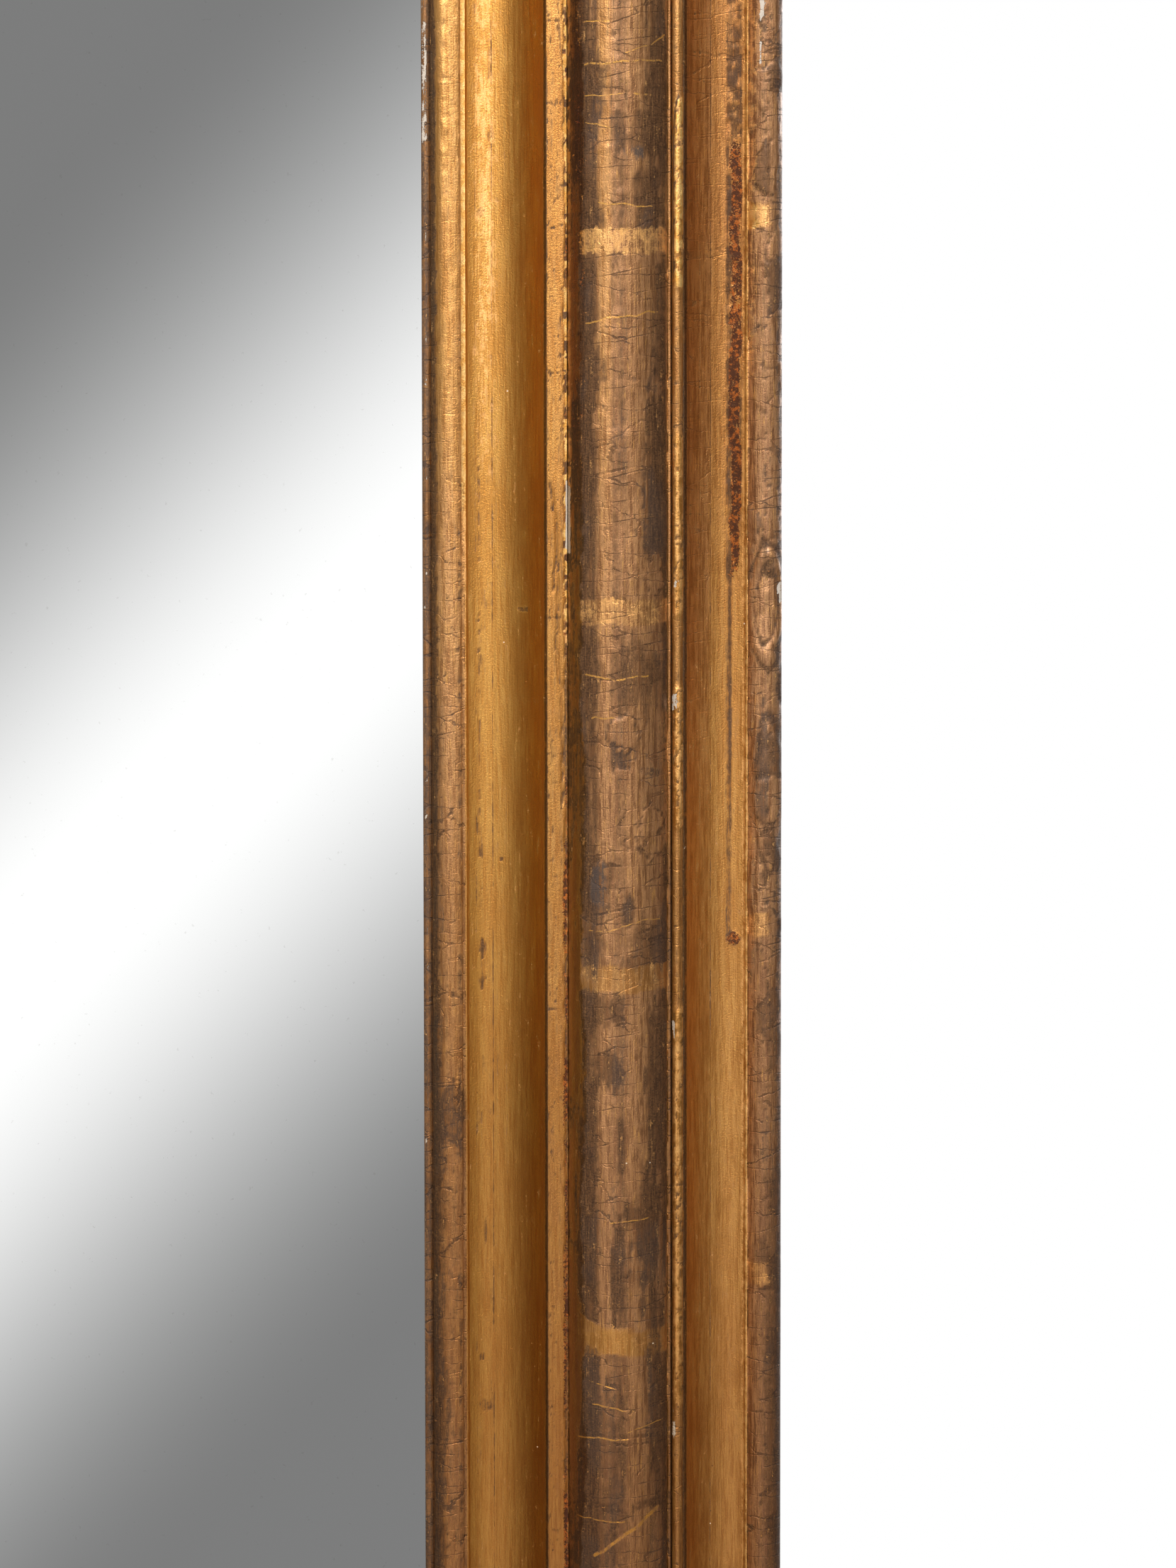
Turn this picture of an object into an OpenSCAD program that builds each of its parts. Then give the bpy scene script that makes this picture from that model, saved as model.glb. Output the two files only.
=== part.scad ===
// Pier mirror: a tall plate of mirror glass in a built-up, mitred and gilded moulding, on a
// half-lapped softwood back frame, with nailed backboards and two hinged hanging rings.
// X runs to the right, Y to the back and Z up. The front faces -Y.
// The origin is the middle of the bottom of the whole mirror.

/* [Overall] */
// Width over the frame
frame_w = 860; // [700:5:1100]
// Height over the frame
frame_h = 1830; // [1400:5:2300]

/* [Moulding widths, from the glass outwards] */
// Fine bead at the sight edge
lip_w = 1.9; // [1.5:0.1:2.5]
// Inner bead
inner_bead_w = 7.1; // [6:0.1:8]
// Inner hollow
inner_hollow_w = 17.4; // [15:0.1:20]
// Flat fillet above the inner hollow
fillet_w = 4.2; // [3:0.1:6]
// Sunk groove on each side of the torus
groove_w = 0.3; // [0.2:0.1:0.8]
// Torus, the large half round in the middle
torus_d = 20.8; // [18:0.1:24]
// Narrow shoulder between the torus and its outer groove
shoulder_w = 0.8; // [0.5:0.1:1.5]
// Small bead above the outer hollow
small_bead_w = 2.2; // [1.8:0.1:3]
// Ledge between the small bead and the outer hollow
ledge_w = 0.5; // [0.3:0.1:1]
// Outer hollow
outer_hollow_w = 13.1; // [12:0.1:15]
// Flat between the outer hollow and its bead
outer_flat_w = 0.6; // [0.4:0.1:1.5]
// Outer bead
outer_bead_w = 7; // [6:0.1:8]

/* [Moulding heights, above the back frame] */
// Top of the fine bead at the sight edge
lip_h = 5; // [4:0.1:6]
// Top of the inner and outer beads
bead_h = 8.6; // [8.2:0.1:10]
// Flat between the outer hollow and its bead
flat_h = 5.6; // [5.4:0.1:6.5]
// Floor of both hollows
hollow_h = 3.6; // [2.5:0.1:4]
// Radius of the inner hollow
inner_hollow_r = 12.6; // [11:0.1:13.2]
// Radius of the outer hollow
outer_hollow_r = 9.5; // [8:0.1:10.2]
// Flat fillet above the inner hollow
fillet_h = 17.5; // [17:0.1:19]
// Bottom of the grooves beside the torus
groove_h = 15; // [13:0.1:15.5]
// Springing line of the torus
torus_h = 16.8; // [15.8:0.1:18]
// Shoulder beside the torus
shoulder_h = 17.2; // [16.5:0.1:18]
// Top of the small bead
small_bead_h = 17.8; // [17:0.1:19]
// Ledge where the outer hollow starts
ledge_h = 14.5; // [14:0.1:15.5]

/* [Back frame] */
// Thickness of the back frame
carcass_t = 30; // [26:1:40]
// Width of the rebate that holds the glass
plate_rebate_w = 10; // [7:0.5:14]
// Width of the rebate that holds the backboards
board_rebate_w = 20; // [17:0.5:26]
// Depth of the rebate that holds the backboards
board_rebate_d = 10; // [9.5:0.5:12]
// Diameter of the pegs through the corner laps
peg_d = 10; // [6:0.5:12]
// Distance of each peg from the middle of its corner, along X and along Z
peg_offset = 15; // [10:0.5:20]
// Clearance of a peg in its hole, all round
peg_clear = 0.05; // [0.02:0.01:0.1]

/* [Mirror plate] */
// Thickness of the glass
plate_t = 5; // [4:0.5:6]
// Gap between the edge of the glass and its rebate
plate_gap = 2; // [1.5:0.5:3]
// Length of the shims that hold the glass in its rebate
shim_l = 40; // [20:1:60]
// Distance of the shims from the corners of the glass
shim_inset = 150; // [80:5:250]
// Leg of the three-cornered blocks behind the glass
block_leg = 11; // [8:0.5:13]
// Length of the blocks behind the glass
block_l = 45; // [30:1:60]
// Blocks along each stile
stile_blocks = 7; // [4:1:10]
// Blocks along each rail
rail_blocks = 3; // [2:1:5]

/* [Backboards] */
// Number of boards
board_count = 9; // [6:1:12]
// Thickness of a board
board_t = 9; // [7:0.5:9.5]
// Gap between neighbouring boards
board_gap = 1.5; // [0.5:0.5:3]
// Clearance of the boards in their rebate
board_clear = 1; // [0.5:0.5:2]
// How far the boards differ in width, as a share of their mean width
board_variation = 0.12; // [0:0.02:0.2]
// Length of a nail
nail_l = 24; // [20:1:27]
// Diameter of a nail's shank
nail_d = 2; // [1.6:0.1:2.6]
// Diameter of a nail's head
nail_head_d = 5.4; // [4:0.1:7]
// Thickness of a nail's head
nail_head_t = 0.8; // [0.5:0.1:1]
// Distance of each nail from the middle of its board's end
nail_offset = 55; // [35:1:60]
// Clearance of a nail or screw in its hole, all round
nail_clear = 0.03; // [0.01:0.01:0.1]

/* [Hanging rings] */
// Height of the ring pins above the bottom of the frame
hanger_z = 1480; // [1000:5:1700]
// Width of a strap
strap_w = 18; // [14:0.5:20]
// Length of a strap below its pin
strap_l = 78; // [70:1:100]
// Thickness of a strap
strap_t = 2; // [1.5:0.1:2.6]
// Wire of a ring
ring_wire_d = 4; // [3:0.1:4.4]
// Inner width of a ring
ring_inner_w = 23; // [21:0.5:28]
// Straight part of a ring's legs
ring_leg_l = 7; // [4:0.5:12]
// Radius of the bends beside the pin
ring_bend_r = 4; // [3:0.5:6]
// Radial clearance of the pin in its knuckle
pin_clear = 0.06; // [0.03:0.01:0.1]
// Wall of the knuckle
knuckle_wall = 2; // [1.5:0.1:2.4]
// Height of the pin above the back of the frame
pin_h = 5.2; // [4.8:0.1:6.5]
// Screws in each strap
screw_count = 3; // [2:1:3]
// Distance of the highest screw of a strap below its pin
screw_top = 30; // [26:0.5:34]
// Distance of the lowest screw from the end of its strap
screw_inset = 10; // [8:0.5:14]
// Shank of a screw
screw_d = 4; // [3:0.1:4.4]
// Head of a screw
screw_head_d = 8; // [7:0.1:9]
// Length of a screw below the strap
screw_l = 20; // [14:1:24]
// Width of a screw's slot
slot_w = 0.9; // [0.6:0.1:1.4]
// Depth of a screw's slot
slot_d = 0.7; // [0.4:0.1:0.9]

/* [Hidden] */
$fn = 64;
EPS = 0.01;
PAST = 5; // how far a cutting tool runs past what it cuts

SIDES = ["right", "top", "left", "bottom"];
STRIPS = ["inner_moulding", "torus_moulding", "outer_moulding"];

// Colours, as the gilding, bare pine, old boards, glass and iron show them
GOLD = [0.80, 0.55, 0.22];
BRONZE = [0.48, 0.34, 0.22];
PINE = [0.72, 0.55, 0.36];
OLD_PINE = [0.52, 0.38, 0.25];
SILVER = [0.85, 0.87, 0.88];
IRON = [0.26, 0.24, 0.23];

// Widths of the three strips of the moulding, each from its inner joint
inner_strip_w = lip_w + inner_bead_w + inner_hollow_w + fillet_w;
torus_strip_w = 2 * groove_w + torus_d + shoulder_w;
outer_strip_w = small_bead_w + ledge_w + outer_hollow_w + outer_flat_w + outer_bead_w;
moulding_w = inner_strip_w + torus_strip_w + outer_strip_w;

// The hangers stand proud of the back frame by the height of their knuckles
knuckle_r = ring_wire_d / 2 + pin_clear + knuckle_wall;
hanger_t = pin_h + knuckle_r;

// The visible opening, and the planes of the back frame
sight_w = frame_w - 2 * moulding_w;
sight_h = frame_h - 2 * moulding_w;
moulding_t = torus_h + torus_d / 2;
depth = moulding_t + carcass_t + hanger_t;
y_back = depth / 2 - hanger_t;
y_face = y_back - carcass_t;
y_lap = (y_face + y_back) / 2;
y_ledge = y_back - board_rebate_d;
member_w = moulding_w - plate_rebate_w;

// The boards: the widths vary with the board's number, and add up to fill the rebate
boards_w = sight_w + 2 * (board_rebate_w - board_clear);
boards_h = sight_h + 2 * (board_rebate_w - board_clear);
function board_share(i) = 1 + board_variation * sin(137 * i);
function board_shares(n) = n < 1 ? 0 : board_share(n) + board_shares(n - 1);
board_unit = (boards_h - (board_count - 1) * board_gap) / board_shares(board_count);
function board_h(i) = board_unit * board_share(i);
function board_z(i) = -boards_h / 2 + board_unit * board_shares(i - 1) + (i - 1) * board_gap;
nail_x = sight_w / 2 + (plate_rebate_w + board_rebate_w) / 2;

// The hangers: the straps sit in the middle of the flat back of the stiles
hanger_x = (sight_w / 2 + board_rebate_w + frame_w / 2) / 2;
ring_axis_r = (ring_inner_w + ring_wire_d) / 2;

// ---- Profiles of the gilt moulding: x runs outwards from the strip's inner joint, y is the
// ---- height above the face of the back frame

// A half round of width w with its top at height top, on its own footing
module bead_profile(w, top) {
    square([w, top - w / 2]);
    translate([w / 2, top - w / 2])
        circle(d = w);
}

// A block whose top, heel_h high, is hollowed over a width w from its low side: the hollow is an
// arc of radius r that ends in a plumb wall, and ledge_w of the top is left beside that
module hollow_profile(w, r, heel_h, ledge_w) {
    difference() {
        square([w + ledge_w, heel_h]);
        translate([w - r, hollow_h + r]) {
            circle(r = r, $fn = 128);
            translate([-w, 0])
                square([w + r, heel_h]);
        }
    }
}

module inner_profile() {
    bead_profile(lip_w, lip_h);
    translate([lip_w, 0])
        bead_profile(inner_bead_w, bead_h);
    translate([lip_w + inner_bead_w, 0])
        hollow_profile(inner_hollow_w, inner_hollow_r, fillet_h, fillet_w);
}

module torus_profile() {
    square([torus_strip_w, groove_h]);
    translate([groove_w, 0])
        bead_profile(torus_d, moulding_t);
    translate([groove_w + torus_d / 2, 0])
        square([torus_d / 2 + shoulder_w, shoulder_h]);
}

module outer_profile() {
    bead_profile(small_bead_w, small_bead_h);
    translate([small_bead_w + ledge_w + outer_hollow_w, 0])
        mirror([1, 0])
            hollow_profile(outer_hollow_w, outer_hollow_r, ledge_h, ledge_w + small_bead_w / 2);
    translate([outer_strip_w - outer_bead_w - outer_flat_w, 0])
        square([outer_flat_w + outer_bead_w / 2, flat_h]);
    translate([outer_strip_w - outer_bead_w, 0])
        bead_profile(outer_bead_w, bead_h);
}

// ---- Placing a side of the frame

function across(side) = (side == "right" || side == "left") ? sight_w : sight_h;
function along(side) = (side == "right" || side == "left") ? sight_h : sight_w;

// Turns what is drawn for the right side, with the middle of the frame at the origin, to any side
module on_side(side) {
    turn = side == "right" ? 0 : side == "top" ? -90 : side == "left" ? 180 : 90;
    translate([0, 0, frame_h / 2])
        rotate([0, turn, 0])
            children();
}

// One strip of the moulding: its profile starts start_w from the sight edge, and its ends are
// mitred from the corners of the visible opening
module strip(side, start_w, strip_w) {
    half_across = across(side) / 2;
    half_along = along(side) / 2;
    end_w = start_w + strip_w;
    half_length = half_along + end_w + PAST;
    on_side(side)
        intersection() {
            translate([half_across + start_w, y_face, -half_length])
                mirror([0, 1, 0])
                    linear_extrude(height = 2 * half_length)
                        children();
            translate([0, y_face + EPS, 0])
                rotate([90, 0, 0])
                    linear_extrude(height = moulding_t + PAST)
                        polygon([
                            [half_across + start_w - EPS, -half_along - start_w + EPS],
                            [half_across + end_w + EPS, -half_along - end_w - EPS],
                            [half_across + end_w + EPS, half_along + end_w + EPS],
                            [half_across + start_w - EPS, half_along + start_w - EPS],
                        ]);
        }
}

module inner_moulding(side) {
    color(GOLD)
        strip(side, 0, inner_strip_w)
            inner_profile();
}

module torus_moulding(side) {
    color(BRONZE)
        strip(side, inner_strip_w, torus_strip_w)
            torus_profile();
}

module outer_moulding(side) {
    color(GOLD)
        strip(side, inner_strip_w + torus_strip_w, outer_strip_w)
            outer_profile();
}

// ---- Back frame: four members with rebates for the glass and the boards, halved at the corners

// A block centred in X and Z on the frame, between two planes of Y
module centred_block(w, h, y0, y1) {
    translate([-w / 2, y0, frame_h / 2 - h / 2])
        cube([w, y1 - y0, h]);
}

module carcass_ring() {
    difference() {
        centred_block(frame_w, frame_h, y_face, y_back);
        centred_block(sight_w + 2 * plate_rebate_w, sight_h + 2 * plate_rebate_w,
            y_face - PAST, y_back + PAST);
        centred_block(sight_w + 2 * board_rebate_w, sight_h + 2 * board_rebate_w,
            y_ledge, y_back + PAST);
    }
}

// The half of the ring's space that one member fills: a stile keeps the back half of its
// corners, and a rail the front half
module member_space(side) {
    stile = side == "right" || side == "left";
    half_across = across(side) / 2 + plate_rebate_w;
    half_between = along(side) / 2 + plate_rebate_w;
    half_length = half_between + member_w;
    on_side(side) {
        translate([half_across, y_face, -half_between])
            cube([member_w, carcass_t, 2 * half_between]);
        translate([half_across, stile ? y_lap : y_face, -half_length])
            cube([member_w, carcass_t / 2, 2 * half_length]);
    }
}

module at_pegs() {
    for (sx = [-1, 1], sz = [-1, 1], k = [-1, 1])
        translate([
            sx * (frame_w / 2 - member_w / 2 + k * peg_offset),
            y_face,
            frame_h / 2 + sz * (frame_h / 2 - member_w / 2 - k * peg_offset),
        ])
            rotate([-90, 0, 0])
                children();
}

module carcass(side) {
    color(PINE)
        difference() {
            intersection() {
                carcass_ring();
                member_space(side);
            }
            translate([0, -PAST, 0])
                at_pegs()
                    cylinder(d = peg_d + 2 * peg_clear, h = carcass_t + 2 * PAST);
            if (side == "right" || side == "left")
                on_one_stile(side) {
                    at_nails()
                        translate([0, 0, -EPS])
                            cylinder(d = nail_d + 2 * nail_clear, h = nail_l - board_t + EPS);
                    at_screws()
                        translate([0, 0, strap_t])
                            cylinder(d = screw_d + 2 * nail_clear, h = screw_l + EPS);
                }
        }
}

module corner_pegs() {
    color(OLD_PINE)
        at_pegs()
            cylinder(d = peg_d, h = carcass_t);
}

// Mirrors what is drawn for the right stile onto the left one
module on_one_stile(side) {
    mirror([side == "left" ? 1 : 0, 0, 0])
        children();
}

// ---- Mirror plate and what holds it

plate_w = sight_w + 2 * (plate_rebate_w - plate_gap);
plate_h = sight_h + 2 * (plate_rebate_w - plate_gap);

module mirror_plate() {
    color(SILVER)
        centred_block(plate_w, plate_h, y_face, y_face + plate_t);
}

// Slips between the edge of the glass and the back frame: two under it, two above, and two on each side
module plate_shims() {
    color(OLD_PINE)
        for (side = SIDES, k = [-1, 1])
            on_side(side)
                translate([
                    across(side) / 2 + plate_rebate_w - plate_gap,
                    y_face,
                    k * (along(side) / 2 - shim_inset) - shim_l / 2,
                ])
                    cube([plate_gap, plate_t, shim_l]);
}

module glass_blocks() {
    color(PINE)
        for (side = SIDES) {
            count = (side == "right" || side == "left") ? stile_blocks : rail_blocks;
            pitch = along(side) / count;
            on_side(side)
                for (i = [0:count - 1])
                    translate([
                        across(side) / 2 + plate_rebate_w,
                        y_face + plate_t,
                        (i + 0.5) * pitch - along(side) / 2 - block_l / 2,
                    ])
                        linear_extrude(height = block_l)
                            polygon([[0, 0], [-block_leg, 0], [0, block_leg]]);
        }
}

// ---- Backboards, nailed to the ledge of their rebate

// The nails of one board on the right stile. z runs forwards from the ledge.
module at_board_nails(i) {
    for (k = [-1, 1])
        translate([nail_x, y_ledge, frame_h / 2 + board_z(i) + board_h(i) / 2 + k * nail_offset])
            rotate([90, 0, 0])
                children();
}

module at_nails() {
    for (i = [1:board_count])
        at_board_nails(i)
            children();
}

module backboard(i) {
    color(OLD_PINE)
        difference() {
            translate([-boards_w / 2, y_ledge, frame_h / 2 + board_z(i)])
                cube([boards_w, board_t, board_h(i)]);
            for (side = ["right", "left"])
                on_one_stile(side)
                    at_board_nails(i)
                        translate([0, 0, -board_t - EPS])
                            cylinder(d = nail_d + 2 * nail_clear, h = board_t + 2 * EPS);
        }
}

module backboard_nails() {
    color(IRON)
        for (side = ["right", "left"])
            on_one_stile(side)
                at_nails() {
                    translate([0, 0, -board_t])
                        cylinder(d = nail_d, h = nail_l);
                    translate([0, 0, -board_t - nail_head_t])
                        cylinder(d = nail_head_d, h = nail_head_t);
                }
}

// ---- Hangers: a strap with a knuckle, screwed to each stile, and a D-shaped ring that
// ---- swings on its straight side in the knuckle

// The screws of the right strap. z runs forwards from the strap's outer face.
module at_screws() {
    pitch = (strap_l - screw_inset - screw_top) / (screw_count - 1);
    for (i = [0:screw_count - 1])
        translate([hanger_x, y_back + strap_t, hanger_z - screw_top - i * pitch])
            rotate([90, 0, 0])
                children();
}

module hanger_strap(hand) {
    color(IRON)
        on_one_stile(hand)
            difference() {
                union() {
                    translate([hanger_x - strap_w / 2, y_back, hanger_z - strap_l])
                        cube([strap_w, strap_t, strap_l]);
                    translate([hanger_x - strap_w / 2, y_back, hanger_z - knuckle_r])
                        cube([strap_w, pin_h, knuckle_r]);
                    translate([hanger_x - strap_w / 2, y_back + pin_h, hanger_z])
                        rotate([0, 90, 0])
                            cylinder(r = knuckle_r, h = strap_w);
                }
                translate([hanger_x - strap_w, y_back + pin_h, hanger_z])
                    rotate([0, 90, 0])
                        cylinder(r = ring_wire_d / 2 + pin_clear, h = 2 * strap_w);
                at_screws() {
                    screw_solid(nail_clear);
                    translate([0, 0, -PAST])
                        cylinder(d = screw_head_d + 2 * nail_clear, h = PAST + EPS);
                }
            }
}

// A countersunk screw, larger all round by grow, with its head's face at z = 0
module screw_solid(grow) {
    cylinder(d1 = screw_head_d + 2 * grow, d2 = screw_d + 2 * grow, h = strap_t);
    translate([0, 0, strap_t - EPS])
        cylinder(d = screw_d + 2 * grow, h = screw_l + EPS);
}

module hanger_screws() {
    color(IRON)
        for (hand = ["right", "left"])
            on_one_stile(hand)
                at_screws()
                    difference() {
                        screw_solid(0);
                        translate([-screw_head_d, -slot_w / 2, -EPS])
                            cube([2 * screw_head_d, slot_w, slot_d + EPS]);
                    }
}

// The ring hangs down from its pin. Its bends, legs and bow meet end to end.
module hanger_ring(hand) {
    wire_r = ring_wire_d / 2;
    color(IRON)
        on_one_stile(hand)
            translate([hanger_x, y_back + pin_h, hanger_z]) {
                translate([-ring_axis_r + ring_bend_r, 0, 0])
                    rotate([0, 90, 0])
                        cylinder(r = wire_r, h = 2 * (ring_axis_r - ring_bend_r));
                for (turn = [0, 180])
                    rotate([0, 0, turn]) {
                        translate([ring_axis_r - ring_bend_r, 0, -ring_bend_r])
                            rotate([90, 0, 0])
                                rotate_extrude(angle = 90)
                                    translate([ring_bend_r, 0])
                                        circle(r = wire_r);
                        translate([ring_axis_r, 0, -ring_bend_r - ring_leg_l])
                            cylinder(r = wire_r, h = ring_leg_l);
                    }
                translate([0, 0, -ring_bend_r - ring_leg_l])
                    rotate([90, 0, 0])
                        rotate_extrude(angle = 180, start = 180)
                            translate([ring_axis_r, 0])
                                circle(r = wire_r);
            }
}

// ---- The part

for (side = SIDES) {
    carcass(side);
    inner_moulding(side);
    torus_moulding(side);
    outer_moulding(side);
}
corner_pegs();
mirror_plate();
plate_shims();
glass_blocks();
for (i = [1:board_count])
    backboard(i);
backboard_nails();
for (hand = ["right", "left"]) {
    hanger_strap(hand);
    hanger_ring(hand);
}
hanger_screws();
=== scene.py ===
"""Looks of a tall pier mirror: worn water gilding, bronzed torus, silvered glass, bare pine.

Lengths named _mm and everything inside the moulding's own coordinates are millimetres: u runs
outwards from the glass, w along a side from its middle, and h up from the face of the back frame.
"""

import math
from functools import partialmethod
from types import SimpleNamespace

import bpy
import numpy as np
from mathutils import Matrix, Vector

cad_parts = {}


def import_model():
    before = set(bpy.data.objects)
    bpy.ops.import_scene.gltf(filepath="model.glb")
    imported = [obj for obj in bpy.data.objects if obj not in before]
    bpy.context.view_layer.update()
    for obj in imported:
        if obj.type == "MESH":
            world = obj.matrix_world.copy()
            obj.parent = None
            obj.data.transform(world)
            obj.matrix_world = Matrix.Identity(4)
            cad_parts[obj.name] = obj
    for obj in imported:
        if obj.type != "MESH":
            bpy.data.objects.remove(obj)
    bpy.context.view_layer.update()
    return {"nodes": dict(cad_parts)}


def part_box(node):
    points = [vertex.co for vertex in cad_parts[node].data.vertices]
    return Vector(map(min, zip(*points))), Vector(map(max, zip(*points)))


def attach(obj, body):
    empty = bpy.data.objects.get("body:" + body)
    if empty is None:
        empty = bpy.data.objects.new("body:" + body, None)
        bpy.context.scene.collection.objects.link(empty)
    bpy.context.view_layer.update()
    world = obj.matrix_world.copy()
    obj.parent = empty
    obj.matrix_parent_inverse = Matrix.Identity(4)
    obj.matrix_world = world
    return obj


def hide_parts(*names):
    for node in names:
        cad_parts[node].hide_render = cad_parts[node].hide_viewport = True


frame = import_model()

MM = 0.001
SIDES = ("right", "top", "left", "bottom")
BODY = "mirror_body"

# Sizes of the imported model
GLASS_LOW, GLASS_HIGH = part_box("mirror_plate")
FACE_Y = GLASS_LOW[1] / MM
MID_Z = (GLASS_LOW[2] + GLASS_HIGH[2]) / 2 / MM
HALF_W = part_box("outer_moulding_right")[1][0] / MM
MOULDING = 76.2
SIGHT_X = HALF_W - MOULDING
SIGHT_Z = MID_Z - MOULDING

# The stretch of the right stile that the photograph shows, from its top to its bottom
SHOT_TOP = 167.0
SHOT_LONG = 334.3
# How much more the picture spreads each strip than the frame's edge, which is further away
INNER_SPREAD = 1.006
TORUS_SPREAD = 1.02
OUTER_SPREAD = 1.008


# --- smooth noise on a plane


def lattice(ix, iy, seed):
    """A repeatable random number from 0 to 1 for each whole-number point."""
    n = (ix * 374761393 + iy * 668265263 + seed * 2147483647) & 0xFFFFFFFF
    n = ((n ^ (n >> 13)) * 1274126177) & 0xFFFFFFFF
    n = ((n ^ (n >> 16)) * 2246822519) & 0xFFFFFFFF
    return ((n ^ (n >> 15)) & 0xFFFFFF) / 0xFFFFFF


def noise(x, y, seed):
    """Smooth value noise from 0 to 1."""
    ix, iy = np.floor(x).astype(np.int64), np.floor(y).astype(np.int64)
    fx, fy = x - ix, y - iy
    fx, fy = fx * fx * (3 - 2 * fx), fy * fy * (3 - 2 * fy)
    low = lattice(ix, iy, seed) * (1 - fx) + lattice(ix + 1, iy, seed) * fx
    high = lattice(ix, iy + 1, seed) * (1 - fx) + lattice(ix + 1, iy + 1, seed) * fx
    return low * (1 - fy) + high * fy


def layered(x, y, seed, octaves=4, gain=0.55):
    """Several octaves of noise, 0 to 1."""
    total, weight, height = 0, 0, 1
    for k in range(octaves):
        total = total + height * noise(x * 2**k + 17.3 * k, y * 2**k - 9.1 * k, seed + 31 * k)
        weight += height
        height *= gain
    return total / weight


def clouds(u, w, first=0):
    """A function for layered noise on one strip: width and length of its patches in mm, and a seed."""
    return lambda wide, long, seed, octaves=4: layered(u / wide, w / long, first + seed, octaves)


def step(value, low, high):
    """0 below low, 1 above high, smooth between."""
    t = np.clip((value - low) / (high - low), 0, 1)
    return t * t * (3 - 2 * t)


def fall(value, low, high):
    """1 below low, 0 above high, smooth between."""
    return 1 - step(value, low, high)


def bell(off, wide):
    """1 where off is 0, and less and less to both sides of it."""
    return np.exp(-((off / wide) ** 2))


def band(value, low, high, soft):
    """1 between low and high, falling to 0 over soft on each side."""
    return step(value, low - soft, low + soft) * fall(value, high - soft, high + soft)


# --- profiles of the three strips


def arc(cu, ch, r, start, stop, step_mm=0.55):
    """Points of an arc, angles in degrees from +u towards +h, both ends included."""
    count = max(2, int(abs(math.radians(stop - start)) * r / step_mm) + 1)
    angles = np.radians(np.linspace(start, stop, count))
    return np.stack([cu + r * np.cos(angles), ch + r * np.sin(angles)], axis=1)


def line(u0, h0, u1, h1, step_mm=0.6):
    """Points of a straight stretch, both ends included."""
    count = max(2, int(math.hypot(u1 - u0, h1 - h0) / step_mm) + 1)
    return np.stack([np.linspace(u0, u1, count), np.linspace(h0, h1, count)], axis=1)


def chain(*stretches):
    """One profile from stretches that meet end to end."""
    points = [stretches[0]]
    for s in stretches[1:]:
        gap = np.hypot(*(s[0] - points[-1][-1]))
        points.append(s[1:] if gap < 1e-6 else s)
    return np.concatenate(points)


INNER_PROFILE = chain(
    line(0, 0, 0, 4.05, 4),
    arc(0.95, 4.05, 0.95, 180, 0, 0.35),
    arc(5.9, 4.6, 4, 180, 90, 0.45),
    arc(5.9, 1.1, 7.5, 90, 71.4, 0.45),
    line(8.3, 8.2, 8.3, 4.9, 0.8),
    line(8.3, 4.9, 8.36, 4.9),
    line(8.36, 4.9, 9.24, 4.9, 0.4),
    line(9.24, 4.9, 9.3, 4.9),
    arc(13.8, 16.2, 12.6, 249.1, 360),
    line(26.4, 16.2, 26.4, 17.3, 0.5),
    arc(26.6, 17.3, 0.2, 180, 90, 0.1),
    line(26.6, 17.5, 30.86, 17.5, 0.27),
    arc(30.86, 17.4, 0.1, 90, 0, 0.12),
    line(30.96, 17.4, 30.96, 16.9, 0.4),
    line(30.96, 16.9, 30.6, 16.9, 0.4),
    line(30.6, 16.9, 30.6, 0, 9),
)
TORUS_PROFILE = chain(
    line(30.6, 0, 30.6, 15, 3),
    line(30.6, 15, 30.9, 15, 0.3),
    line(30.9, 15, 30.9, 16.8, 0.6),
    arc(41.3, 16.8, 10.4, 180, 2.2),
    line(51.7, 17.2, 52.3, 17.2, 0.3),
    arc(52.3, 17, 0.2, 90, 0, 0.1),
    line(52.5, 17, 52.5, 15, 0.5),
    line(52.5, 15, 52.8, 15, 0.3),
    line(52.8, 15, 52.8, 0, 3),
)
OUTER_PROFILE = chain(
    line(52.8, 0, 52.8, 16.7, 3),
    arc(53.9, 16.7, 1.1, 180, 0, 0.35),
    line(55, 16.7, 55, 14.5, 0.5),
    line(55, 14.5, 55.5, 14.5, 0.25),
    line(55.5, 14.5, 55.5, 13.1, 0.5),
    arc(65, 13.1, 9.5, 180, 292.3),
    line(68.6, 4.4, 68.6, 5.5, 0.4),
    line(68.6, 5.6, 69.2, 5.6, 0.3),
    arc(72.7, 5.1, 3.5, 171.8, 0),
    line(76.2, 5.1, 76.2, 0, 0.9),
)


def outward(profile):
    """Unit normals (nu, nh) of an open profile that runs with its solid on the right."""
    along = np.gradient(profile, axis=0)
    normal = np.stack([-along[:, 1], along[:, 0]], axis=1)
    return normal / np.maximum(np.hypot(normal[:, 0], normal[:, 1]), 1e-9)[:, None]


# --- wear, dirt and painted light: where each coat shows


# Where the parts of the moulding lie across it
LIP = (-1, 1.9)
INNER_BEAD = (1.9, 9)
FILLET = (26.45, 31.2)
TORUS = (30.9, 51.7)
CROWN = (37.3, 40)
SHOULDER = (51.75, 52.6)
SMALL_BEAD = (52.9, 55)
OUTER_HOLLOW = (55.4, 69)
OUTER_BEAD = (69.1, 77)

COATS = ("worn", "grime", "bole", "gesso", "leaf", "tone", "glaze", "smoke", "lift")


def blank(u):
    """No coat anywhere yet. The last of them, lift, is how far the surface is raised, in mm."""
    return SimpleNamespace(**{name: np.zeros_like(u) for name in COATS})


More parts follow.
